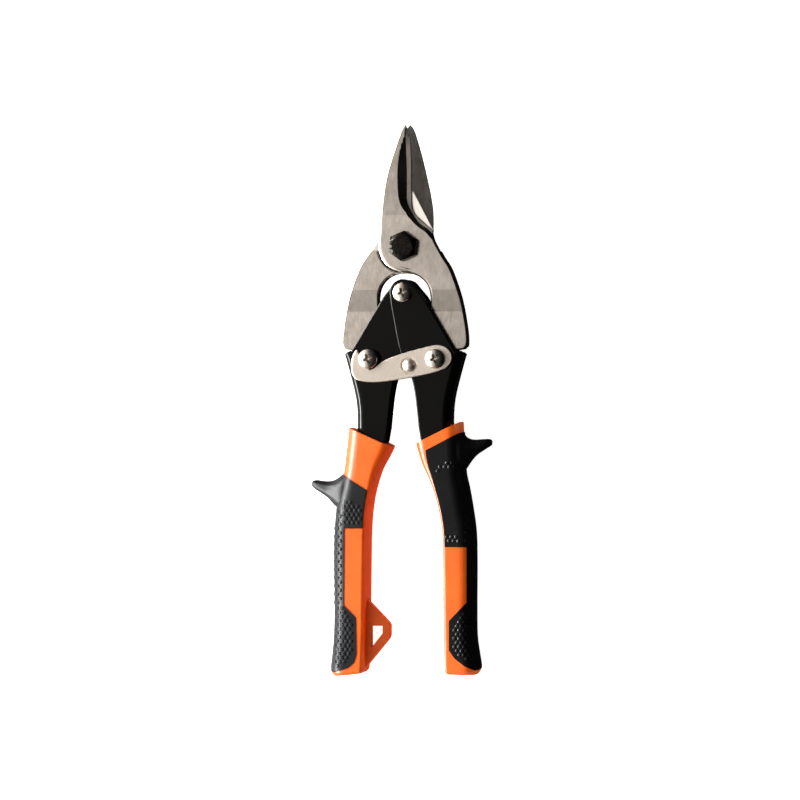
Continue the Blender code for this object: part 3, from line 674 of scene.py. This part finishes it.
# ---- screws ------------------------------------------------------------------------------
SHANK_R, SHANK_END, SHOULDER_R = 1.8, -6.0, 2.4
BRIM, BRIM_EDGE = 0.6, 0.25          # the head's straight side, and its rounded lower edge
ARM_HALF, ARM_REACH = 0.55, 2.8      # the cross's arms
CROSS_DEPTH, CROSS_TAPER = 3.4, 0.25  # the punch's length, and how small its point is


def screw(name, centre, base, body, node_name, collar_low=None):
    """A domed cross-recess screw, with a shoulder under the head where the latch hooks on."""
    top = base + HEAD_HEIGHT
    dome = [(HEAD_R * math.cos(a), base + BRIM + (HEAD_HEIGHT - BRIM) * math.sin(a))
            for a in (math.radians(d) for d in range(0, 90, 9))]
    profile = [(0.0, SHANK_END), (SHANK_R, SHANK_END)]
    if collar_low is None:
        profile += [(SHANK_R, base)]
    else:
        profile += [(SHANK_R, collar_low), (SHOULDER_R, collar_low), (SHOULDER_R, base)]
    profile += [(HEAD_R - BRIM_EDGE, base), (HEAD_R, base + BRIM_EDGE)] + dome + [(0.0, top)]
    made = turned(name, centre, profile)
    fillet = ARM_HALF * 1.5
    arm = [(ARM_REACH, -ARM_HALF), (ARM_REACH, ARM_HALF), (fillet, fillet)]
    turns = [math.radians(CROSS_TURN + 90 * k) for k in range(4)]
    cross = [(centre[0] + x * math.cos(a) - y * math.sin(a),
              centre[1] + x * math.sin(a) + y * math.cos(a)) for a in turns for x, y in arm]
    punch = plate("punch", cross, top - CROSS_DEPTH, top + CLEAR)
    for corner in punch.data.vertices:
        if corner.co.z < top:
            corner.co.x = centre[0] + (corner.co.x - centre[0]) * CROSS_TAPER
            corner.co.y = centre[1] + (corner.co.y - centre[1]) * CROSS_TAPER
    cut(made, punch)
    clean(made, 0.1)
    settle(made, body, node_name, BRIGHT, 35.0)


screw("left_latch_screw", LEFT, LATCH_HIGH + GAP, "left_handle", "left_pivot_screw", OUTER_EAR)
screw("right_latch_screw", RIGHT, LATCH_HIGH + GAP, "right_handle", "right_pivot_screw")
screw("middle_screw", CENTRE, OUTER_EAR + EAR + GAP, "right_handle", "centre_pivot_screw")


# ---- latch -------------------------------------------------------------------------------
LATCH_TOP = [(-8.9, -52.4), (-4.5, -50.3), (4.1, -47.6), (12.4, -45.5)]
LATCH_BOTTOM = [(-11.0, -61.7), (2.0, -60.0), (12.4, -57.9)]
LATCH_END = [(17.4, -56.5), (20.6, -55.0), (22.7, -52.4), (22.9, -49.3), (21.2, -46.6),
             (18.4, -45.1), (15.5, -44.9)]
# The hook's back, as steps from the left screw; then its foot, which bears on that screw's
# shoulder, the notch behind the shoulder, and the prong that ends the foot.
HOOK_BACK = [(-5.4, 4.1), (-6.4, 2.9), (-7.6, -0.2), (-7.9, -3.2), (-7.4, -6.6), (-6.0, -8.9),
             (-3.2, -10.1)]
HOLD_R, HOLD_TURN, NOTCH_R, PRONG = 2.7, 206.0, 4.9, 5.8
NUB, NUB_R, NUB_SINK, NUB_RISE = (3.3, -54.1), 2.9, 0.3, 1.7
# The moat round the nub: (radius, height over the face).
MOAT = [(4.0, 1.0), (4.0, 0.0), (3.6, -0.35), (3.1, -0.5), (2.6, -0.35), (2.2, 1.0), (4.0, 1.0)]
LATCH_RIM, LATCH_UNDER_RIM, LATCH_WIDEST = 0.45, 0.2, 0.5  # roundings, and what none exceeds


def latch_plate():
    """The stamped latch, with the oval thumb nub pressed up out of a shallow moat."""
    turn = math.radians(HOLD_TURN - 90)
    foot = arc(LEFT, HOLD_R, HOLD_TURN, HOLD_TURN + 34, 5)
    prong = (foot[0][0] + PRONG * math.cos(turn), foot[0][1] + PRONG * math.sin(turn))
    notch = smooth(arc(LEFT, NOTCH_R, 277, 320, 5), 2)
    back = [(LEFT[0] + x, LEFT[1] + y) for x, y in HOOK_BACK]
    outline = smooth(back + LATCH_BOTTOM + LATCH_END + LATCH_TOP[::-1], 4)
    outline += notch[::-1] + foot[::-1] + [prong]
    made = plate("latch_stamping", outline, LATCH_LOW, LATCH_HIGH)
    round_rim(made, lambda middle: LATCH_RIM if middle.z > 0 else LATCH_UNDER_RIM, LATCH_WIDEST, 3)
    cut(made, turned("moat", NUB, [(r, LATCH_HIGH + z) for r, z in MOAT], 40))
    dome = [(NUB_R * math.cos(a), LATCH_HIGH - NUB_SINK + NUB_RISE * math.sin(a))
            for a in (math.radians(d) for d in range(0, 90, 10))]
    knob = [(0.0, LATCH_HIGH - CLEAR), (NUB_R, LATCH_HIGH - CLEAR)] + dome
    knob += [(0.0, LATCH_HIGH + NUB_RISE - NUB_SINK)]
    fuse(made, turned("knob", NUB, knob, 40))
    cut(made, hole(RIGHT, BARREL_R + RUN))
    clean(made, 0.1)
    settle(made, "latch", "latch", SATIN, 35.0)


latch_plate()

# ---- handles -----------------------------------------------------------------------------
SHOULDER = [(9.2, -22.6), (24.0, -47.4), (26.2, -48.0), (27.3, -48.9)]
NECK_OUTER = [(25.4, -56.0), (22.2, -69.5), (21.6, -82.0)]
NECK_INNER = [(8.2, -88.0), (5.9, -69.5), (4.1, -60.4), (1.0, -53.5), (-1.8, -46.0),
              (-5.4, -27.0)]
TANG_OUTER = [(22.8, -96.0), (25.4, -113.0), (26.8, -130.0), (27.0, -165.0)]
TANG_INNER = [(21.0, -165.0), (20.7, -130.0), (18.6, -113.0), (14.0, -99.0)]
BEND, EAR_RIM, TANG_RIM = 3.6, 0.7, 0.2      # the fold's rounding, then the sheared edges'
NECK_TOP, GRIP_INSIDE = -49.0, -100.0        # where the fold starts, and where the grip hides it
SHEET_TURN = 1.03                            # the folded web is a little thicker than the ear
WEB_NEAR, WEB_INSET = 4.0, 0.8               # how near the web's line a rounded edge lies


def pressed_handle(name, side, ear_face, body, node_name, centre_run):
    """A handle folded from sheet: two ears and the web that joins them on the outer side."""
    half = ear_face + EAR
    web_side = smooth([SHOULDER[-1]] + NECK_OUTER + TANG_OUTER, 4)
    inner = smooth(TANG_INNER + NECK_INNER, 3)
    outline = inner + arc(CENTRE, EAR_R, 180, 30, 24) + SHOULDER[:-1] + web_side
    made = plate(name, outline, -half, half)

    def rim(middle):
        near = min(math.dist(middle.xy, p) for p in web_side[1:])
        on_web = middle.x > at_height(web_side, middle.y) - WEB_INSET
        if near < WEB_NEAR and on_web and middle.y < NECK_TOP:
            return BEND
        return EAR_RIM if middle.y > GRIP_INSIDE else TANG_RIM

    round_rim(made, rim, BEND, 6)
    web = [(x - EAR * SHEET_TURN, y) for x, y in web_side]
    low, far = web[-1][1] - 15.0, 2 * BEYOND
    cavity = [(far, web[0][1]), (far, 0.0), (-far, 0.0), (-far, low), (web[-1][0], low)]
    cavity += web[::-1]
    cut(made, plate("cavity", cavity, -ear_face, ear_face))
    cut(made, hole(RIGHT, BARREL_R + RUN), hole(CENTRE, BARREL_R + centre_run))
    if side < 0:
        turn_over(made)
    clean(made)
    settle(made, body, node_name, ENAMEL, 30.0)


pressed_handle("left_pressed_handle", -1, INNER_EAR, "left_handle", "left_handle", 0.9)
pressed_handle("right_pressed_handle", 1, OUTER_EAR, "right_handle", "right_handle", RUN)

# ---- grips -------------------------------------------------------------------------------
# Both hands' side lines are drawn on the right; the left grip is turned over afterwards.
LEFT_LINES = {
    "inner": [(3.6, -70.0), (4.6, -84.0), (5.9, -90.6), (8.6, -96.0), (12.0, -102.3),
              (15.3, -113.4), (16.9, -127.6), (17.3, -150.0), (17.6, -176.0), (18.2, -192.0)],
    "outer": [(24.6, -70.0), (25.5, -84.0), (27.9, -103.7), (30.8, -118.4), (31.9, -134.0),
              (31.9, -150.0), (31.7, -166.3), (32.1, -178.8), (33.3, -190.0)],
    "mouth_heights": (-82.2, -90.6),       # outer, inner
    "foot_heights": (-195.0, -193.6),
}
RIGHT_LINES = {
    "inner": [(3.8, -68.0), (4.8, -82.0), (6.0, -89.4), (8.8, -98.1), (12.3, -105.5),
              (15.0, -112.5), (17.3, -122.0), (18.4, -131.0), (18.8, -145.0), (18.8, -160.0),
              (19.0, -176.7), (19.3, -190.5)],
    "outer": [(25.4, -68.0), (26.2, -80.0), (26.9, -92.0), (27.3, -102.5), (28.7, -109.0),
              (30.4, -118.5), (31.9, -130.0), (32.2, -145.0), (32.1, -163.7), (32.3, -176.7),
              (33.5, -185.4), (34.2, -189.6)],
    "mouth_heights": (-79.6, -89.4),
    "foot_heights": (-193.9, -193.6),
}
PROUD = 0.35                    # how far the soft skin stands above the hard shell
INNER_SINK = 0.2                # the share of it that the inner side is sunk by
OUTER_ROUND, INNER_ROUND, FOOT_ROUND = 6.4, 1.5, 2.4
BROAD = 2.8                     # how much wider the inner corner's rounding is at the collar
BROAD_END, BROAD_RUN, BROAD_EASE = -112.0, 21.0, 1.3
SECTIONS, SECTION_EASE = 84, 0.97  # sections down a grip, set a little closer at its foot
SHELL_ROOM = 0.4                # free play beside the web inside the hard shell
BORDER, BORDER_TURN = 0.8, 60   # the rounding of the skin's border


def broad_corner(y):
    """How far the inner corner is opened out: 1 at the collar, 0 below the palm swell."""
    return min(max((y - BROAD_END) / BROAD_RUN, 0.0), 1.0) ** BROAD_EASE


def soft_box(inner, outer, half, inner_round, outer_round):
    """A grip's section as (x, z) points: broad-rounded on the outer side, crisp on the inner."""
    corners = [(outer, 1, outer_round, 0), (inner, 1, inner_round, 90),
               (inner, -1, inner_round, 180), (outer, -1, outer_round, 270)]
    points = []
    for x, up, radius, start in corners:
        middle = (x - radius if x == outer else x + radius, up * (half - radius))
        points += arc(middle, radius, start, start + 90, 8)
    return points


def grip_block(name, lines, sink):
    """The grip's whole form, sunk all over by sink, from its slanted mouth to its rounded foot."""
    outer, inner = smooth(lines["outer"], 4), smooth(lines["inner"], 4)
    mouth_out, mouth_in = lines["mouth_heights"]
    foot_out, foot_in = lines["foot_heights"]
    sections = []
    for i in range(SECTIONS + 1):
        t = (i / SECTIONS) ** SECTION_EASE
        y_out = mouth_out + (foot_out - mouth_out) * t
        y_in = mouth_in + (foot_in - mouth_in) * t
        left = (1.0 - t) * (mouth_in - foot_in) + sink
        into_round = max(FOOT_ROUND - left, 0.0)
        pull = FOOT_ROUND - math.sqrt(max(FOOT_ROUND ** 2 - into_round ** 2, 0.0))
        shrink = sink + pull
        x_out = at_height(outer, y_out) - shrink
        x_in = at_height(inner, y_in) + sink * INNER_SINK + pull
        inner_round = INNER_ROUND + BROAD * broad_corner(y_in)
        slant = (y_out - y_in) / (x_out - x_in)
        section = soft_box(x_in, x_out, GRIP_HALF - shrink, inner_round, OUTER_ROUND)
        sections.append([(x, y_in + slant * (x - x_in), z) for x, z in section])
    return rolled(name, sections)


def beside_inner(lines, top, low, wide, narrow):
    """Points beside the inner line: wide where its corner is broad, narrow below."""
    inner = smooth(lines["inner"], 4)
    heights = [top] + [y for _, y in inner if low < y < top] + [low]
    return [(at_height(inner, y) + narrow + (wide - narrow) * broad_corner(y), y)
            for y in heights]


def handle_room(steel_half):
    """Room for the handle in the hard shell."""
    outline = smooth(TANG_INNER + NECK_INNER[:2], 3) + [(30.0, -60.0)]
    outline += [(x + SHELL_ROOM, y) for x, y in smooth(NECK_OUTER + TANG_OUTER, 3)]
    return plate("room", outline, -steel_half - RUN, steel_half + RUN)


def grips(side, lines, skin_area, steel_half, skin_finish, extra=None):
    """A side's orange shell and its soft skin, drawn on the right; gives the skin."""
    hand = "left" if side < 0 else "right"
    shell = grip_block(hand + "_hard_shell", lines, PROUD)
    cut(shell, handle_room(steel_half))
    if extra:
        extra(shell)
    skin = grip_block(hand + "_soft_skin", lines, 0.0)
    combine(skin, "INTERSECT", plate("skin_area", skin_area, -BEYOND, BEYOND))
    clean(skin)
    soften = skin.modifiers.new("border", "BEVEL")
    soften.width, soften.segments = BORDER, 3
    soften.limit_method, soften.angle_limit = "ANGLE", math.radians(BORDER_TURN)
    apply(skin, soften)
    for piece, part, slot, finish in ((shell, "core", "orange_plastic", ORANGE),
                                      (skin, "skin", "black_rubber", skin_finish)):
        if side < 0:
            turn_over(piece)
        clean(piece)
        settle(piece, hand + "_handle", hand + "_grip_" + part, finish, 30.0)
    return skin


TAB = [(20.0, -157.4), (17.0, -160.4), (7.2, -170.6), (6.6, -171.8), (6.6, -176.6), (7.2, -178.0),
       (17.8, -191.0), (20.0, -190.0)]
EYE = [(15.4, -172.2), (10.2, -172.2), (10.2, -175.6), (15.4, -182.2)]
TAB_HALF, TAB_RIM = 2.5, 0.6


def lanyard_tab(shell):
    web = plate("tab", TAB, -TAB_HALF, TAB_HALF)
    round_rim(web, lambda middle: TAB_RIM, TAB_RIM, 3)
    fuse(shell, web)
    cut(shell, plate("eye", EYE, -2 * TAB_HALF, 2 * TAB_HALF))


# What the soft skin covers; like the lines above, both hands' are drawn on the right.
LEFT_AREA = [(50.0, -96.0), (27.0, -103.6)] + beside_inner(LEFT_LINES, -110.6, -127.8, 3.0, 0.9)
LEFT_AREA += [(26.2, -127.8), (26.4, -162.5), (20.9, -168.0), (20.6, -185.0), (21.8, -188.6),
              (24.6, -191.0), (31.0, -193.0), (50.0, -194.0)]
RIGHT_AREA = [(50.0, -72.0), (27.0, -84.0)] + beside_inner(RIGHT_LINES, -92.4, -136.0, 4.4, 1.0)
RIGHT_AREA += [(29.5, -136.0), (29.5, -161.0), (21.6, -169.3), (21.6, -182.5), (24.2, -186.2),
               (28.6, -189.6), (33.0, -191.6), (50.0, -192.0)]
left_skin = grips(-1, LEFT_LINES, LEFT_AREA, INNER_EAR + EAR, LEFT_SKIN, lanyard_tab)
right_skin = grips(1, RIGHT_LINES, RIGHT_AREA, OUTER_EAR + EAR, RIGHT_SKIN)


# ---- finger guards -----------------------------------------------------------------------
GUARD_POINTS, GUARD_CORNER = 32, 2 / 3.0     # points round a section; 1 would be an ellipse


def rounded_box(y_low, y_high, half):
    """A section with soft corners, as (y, z) points."""
    middle, tall = (y_low + y_high) / 2, (y_high - y_low) / 2
    points = []
    for i in range(GUARD_POINTS):
        turn = 2 * math.pi * i / GUARD_POINTS
        c, s = math.cos(turn), math.sin(turn)
        points.append((middle + tall * math.copysign(abs(c) ** GUARD_CORNER, c),
                       half * math.copysign(abs(s) ** GUARD_CORNER, s)))
    return points


def guard(name, side, stations, body, finish):
    """A horn that flares out of the grip: stations are (x, lower y, upper y, half thickness)."""
    sections = []
    for x, low, high, half in smooth(stations, 4):
        sections.append([(side * x, y, z) for y, z in rounded_box(low, high, half)])
    settle(rolled(name, sections), body, None, finish, 50.0, weigh=False)


LEFT_GUARD = [(24.0, -121.5, -101.0, 10.8), (27.5, -121.0, -102.6, 10.6),
              (30.0, -119.4, -104.6, 9.8), (32.4, -117.4, -106.0, 8.6),
              (35.2, -114.4, -106.6, 7.4), (38.6, -112.0, -106.4, 6.4),
              (41.4, -110.2, -106.1, 5.4), (42.5, -109.2, -106.6, 4.2)]
RIGHT_GUARD = [(22.0, -103.5, -82.5, 10.8), (25.6, -103.0, -84.0, 10.6),
               (27.6, -101.0, -86.2, 9.8), (29.6, -98.0, -87.3, 8.6),
               (32.2, -95.0, -87.6, 7.4), (35.6, -92.6, -87.4, 6.4),
               (38.2, -91.0, -87.3, 5.4), (39.3, -90.2, -87.7, 4.2)]
guard("left_finger_guard", -1, LEFT_GUARD, "left_handle", LEFT_SKIN)
guard("right_finger_guard", 1, RIGHT_GUARD, "right_handle", RIGHT_SKIN)


# ---- scales on the soft skins ------------------------------------------------------------
SCALE_PITCH, SCALE_ROW, SCALE_R = 2.15, 1.86, 1.14
SCALE_CROWN, SCALE_ROOT = 0.45, -0.12     # the top's share of the foot; how deep the foot sits
LEFT_SCALE, RIGHT_SCALE = 0.34, 0.22      # how tall the scales stand
LEFT_PATCHES = [[(-27.6, -115.6), (-23.5, -115.0), (-18.4, -118.2), (-18.6, -126.0),
                 (-27.4, -126.0)],
                [(-31.4, -119.5), (-27.2, -119.5), (-27.2, -163.0), (-31.4, -163.0)],
                [(-31.4, -163.0), (-27.2, -163.0), (-26.0, -164.6), (-22.2, -169.0),
                 (-22.4, -185.0), (-26.0, -189.6), (-31.6, -191.0)]]
RIGHT_PATCHES = [[(16.5, -98.4), (25.5, -97.0), (25.5, -100.4), (16.5, -101.8)],
                 [(28.2, -108.0), (29.6, -108.0), (32.0, -134.0), (29.0, -134.0)],
                 [(20.6, -130.4), (26.0, -130.4), (26.0, -134.2), (20.6, -134.2)],
                 [(24.2, -170.0), (28.4, -165.0), (31.6, -165.0), (31.8, -187.0), (28.6, -187.4),
                  (24.2, -183.0)]]


def inside(outline, x, y):
    """True where the outline goes round the point."""
    hits = 0
    for (xa, ya), (xb, yb) in zip(outline, outline[1:] + outline[:1]):
        if (ya > y) != (yb > y) and x < xa + (xb - xa) * (y - ya) / (yb - ya):
            hits += 1
    return hits % 2 == 1


def scales(name, skin, outlines, body, finish, tall):
    """One low hexagonal scale, copied in staggered rows and seated square on the skin."""
    surface = BVHTree.FromPolygons([corner.co / MM for corner in skin.data.vertices],
                                   [tuple(face.vertices) for face in skin.data.polygons])
    clear()
    bpy.ops.mesh.primitive_cylinder_add(vertices=6, radius=SCALE_R, depth=1.0)
    first = named(name)
    for corner in first.data.vertices:
        if corner.co.z > 0.0:
            corner.co = (corner.co.x * SCALE_CROWN, corner.co.y * SCALE_CROWN, tall)
        else:
            corner.co.z = SCALE_ROOT
    above, down, up = 2 * BEYOND, Vector((0.0, 0.0, -1.0)), Vector((0.0, 0.0, 1.0))
    copies = []
    for outline in outlines:
        left, top = min(x for x, _ in outline), max(y for _, y in outline)
        wide, high = max(x for x, _ in outline) - left, top - min(y for _, y in outline)
        for row in range(int(high / SCALE_ROW) + 1):
            for column in range(int(wide / SCALE_PITCH) + 1):
                x = left + (column + 0.5 * (row % 2)) * SCALE_PITCH
                y = top - (row + 0.5) * SCALE_ROW
                if not inside(outline, x, y):
                    continue
                seat, lean, _, _ = surface.ray_cast(Vector((x, y, above)), down)
                if seat is None:
                    continue
                copy = first.copy()
                copy.data = first.data.copy()
                bpy.context.scene.collection.objects.link(copy)
                turn = up.rotation_difference(lean).to_matrix().to_4x4()
                copy.data.transform(Matrix.Translation(seat - Vector((0.0, 0.0, MID_Z))) @ turn)
                copies.append(copy)
    bpy.data.objects.remove(first, do_unlink=True)
    clear()
    for copy in copies:
        copy.select_set(True)
    bpy.context.view_layer.objects.active = copies[0]
    bpy.ops.object.join()
    settle(named(name), body, None, finish, 20.0, weigh=False)


scales("left_skin_scales", left_skin, LEFT_PATCHES, "left_handle", LEFT_SKIN, LEFT_SCALE)
scales("right_skin_scales", right_skin, RIGHT_PATCHES, "right_handle", RIGHT_SKIN, RIGHT_SCALE)


# ---- studio ------------------------------------------------------------------------------
MIDDLE_Y, MIDDLE_Z = -0.07, 0.01  # the tool's middle, in metres
FLOOR_SIZE, FLOOR_DROP = 6.0, 0.0004
STRIP_PLACE, CEILING_PLACE = (-1.0, -0.05, 0.5), (0.0, MIDDLE_Y, 1.6)
TILT = 9.0                  # degrees that the camera leans to the right of straight above
AIM_Y, AIM_ACROSS, FRAME_WIDTH = -69.7, 2.54, 363.2  # what it looks at, in tool millimetres
LENS, SENSOR = 200.0, 36.0  # in lens millimetres
# How bright the room is: from and to along a direction's x, y or z, and the strengths there.
SKY_EDGE, SKY_RIGHT = (-0.22, 0.02, 1.2, 0.05), (0.1, 0.7, 1.0, 0.15)
SKY_LEFT, SKY_ENDS = (-0.8, -0.3, 2.4, 0.0), (0.03, 0.14, 1.1, 0.45)
SKY_BELOW = (-0.3, 0.0, 0.15, 1.0)


def floor():
    """A white acrylic table, lit from below; it throws no reflection into the glossy steel."""
    clear()
    bpy.ops.mesh.primitive_plane_add(size=FLOOR_SIZE, location=(0.0, MIDDLE_Y, -FLOOR_DROP))
    made = named("studio_floor")
    acrylic, _, _ = finish_of("lit_acrylic_table", {
        "Base Color": linear("#F4F4F4"), "Roughness": 0.9, "Specular IOR Level": 0.1,
        "Emission Color": (1.0, 1.0, 1.0, 1.0), "Emission Strength": 0.88})
    made.data.materials.append(acrylic)
    made.visible_glossy = False


def soft_light(name, place, size, power):
    """A soft box that faces the tool, its place and size in metres and its power in watts."""
    clear()
    bpy.ops.object.light_add(type="AREA", location=place)
    lamp = bpy.context.object
    lamp.name = lamp.data.name = name
    lamp.data.shape = "RECTANGLE"
    lamp.data.size, lamp.data.size_y = size
    lamp.data.energy = power
    target = Vector((0.0, MIDDLE_Y, MIDDLE_Z))
    lamp.rotation_euler = (target - Vector(place)).to_track_quat("-Z", "Y").to_euler()
    return lamp


def sky():
    """The room: brightest far to the left, with a soft edge just left of overhead.

    It dims to the right, towards the tool's two ends, and below the table.
    """
    world = bpy.data.worlds.new("studio_room")
    bpy.context.scene.world = world
    world.use_nodes = True
    tree = world.node_tree
    backdrop = tree.nodes["Background"]
    where = node(tree, "ShaderNodeTexCoord", {})
    apart = node(tree, "ShaderNodeSeparateXYZ", {}, [("Vector", where.outputs["Generated"])])
    x, y, z = (apart.outputs[axis] for axis in "XYZ")
    edge = ramp(tree, x, *SKY_EDGE, "SMOOTHSTEP")
    right = ramp(tree, x, *SKY_RIGHT)
    left = ramp(tree, x, *SKY_LEFT)
    level = node(tree, "ShaderNodeMath", {"operation": "ABSOLUTE"}, [(0, y)]).outputs[0]
    ends = ramp(tree, level, *SKY_ENDS)
    below = ramp(tree, z, *SKY_BELOW)
    whole = edge
    for kind, part in (("MULTIPLY", right), ("MULTIPLY", ends), ("MULTIPLY", below),
                       ("ADD", left)):
        joined = node(tree, "ShaderNodeMath", {"operation": kind}, [(0, whole), (1, part)])
        whole = joined.outputs[0]
    tree.links.new(backdrop.inputs["Strength"], whole)
    backdrop.inputs["Color"].default_value = (1.0, 0.975, 0.945, 1.0)


def camera():
    """A long lens above the tool, leaning to the right, with the tips at the top."""
    tilt = math.radians(TILT)
    away = Vector((math.sin(tilt), 0.0, math.cos(tilt)))
    across = Vector((math.cos(tilt), 0.0, -math.sin(tilt)))
    up = Vector((0.0, 1.0, 0.0))
    target = Vector((0.0, AIM_Y, MID_Z)) * MM - across * AIM_ACROSS * MM
    bpy.ops.object.camera_add(location=target + away * (FRAME_WIDTH * MM) * LENS / SENSOR)
    made = bpy.context.object
    made.name = made.data.name = "studio_camera"
    made.data.lens = LENS
    turn = Matrix((across, up, away)).transposed().to_4x4()
    made.matrix_world = Matrix.Translation(made.location) @ turn
    bpy.context.scene.camera = made


floor()
sky()
# The left lamp is two: a narrow strip for the gloss and a softer one for the matt colours.
soft_light("left_strip_light", STRIP_PLACE, (1.6, 0.26), 130.0).visible_diffuse = False
soft_light("left_key", STRIP_PLACE, (1.6, 0.5), 38.0).visible_glossy = False
soft_light("ceiling_bounce", CEILING_PLACE, (2.0, 2.0), 13.0).visible_glossy = False
camera()
bpy.context.scene.view_settings.view_transform = "Standard"
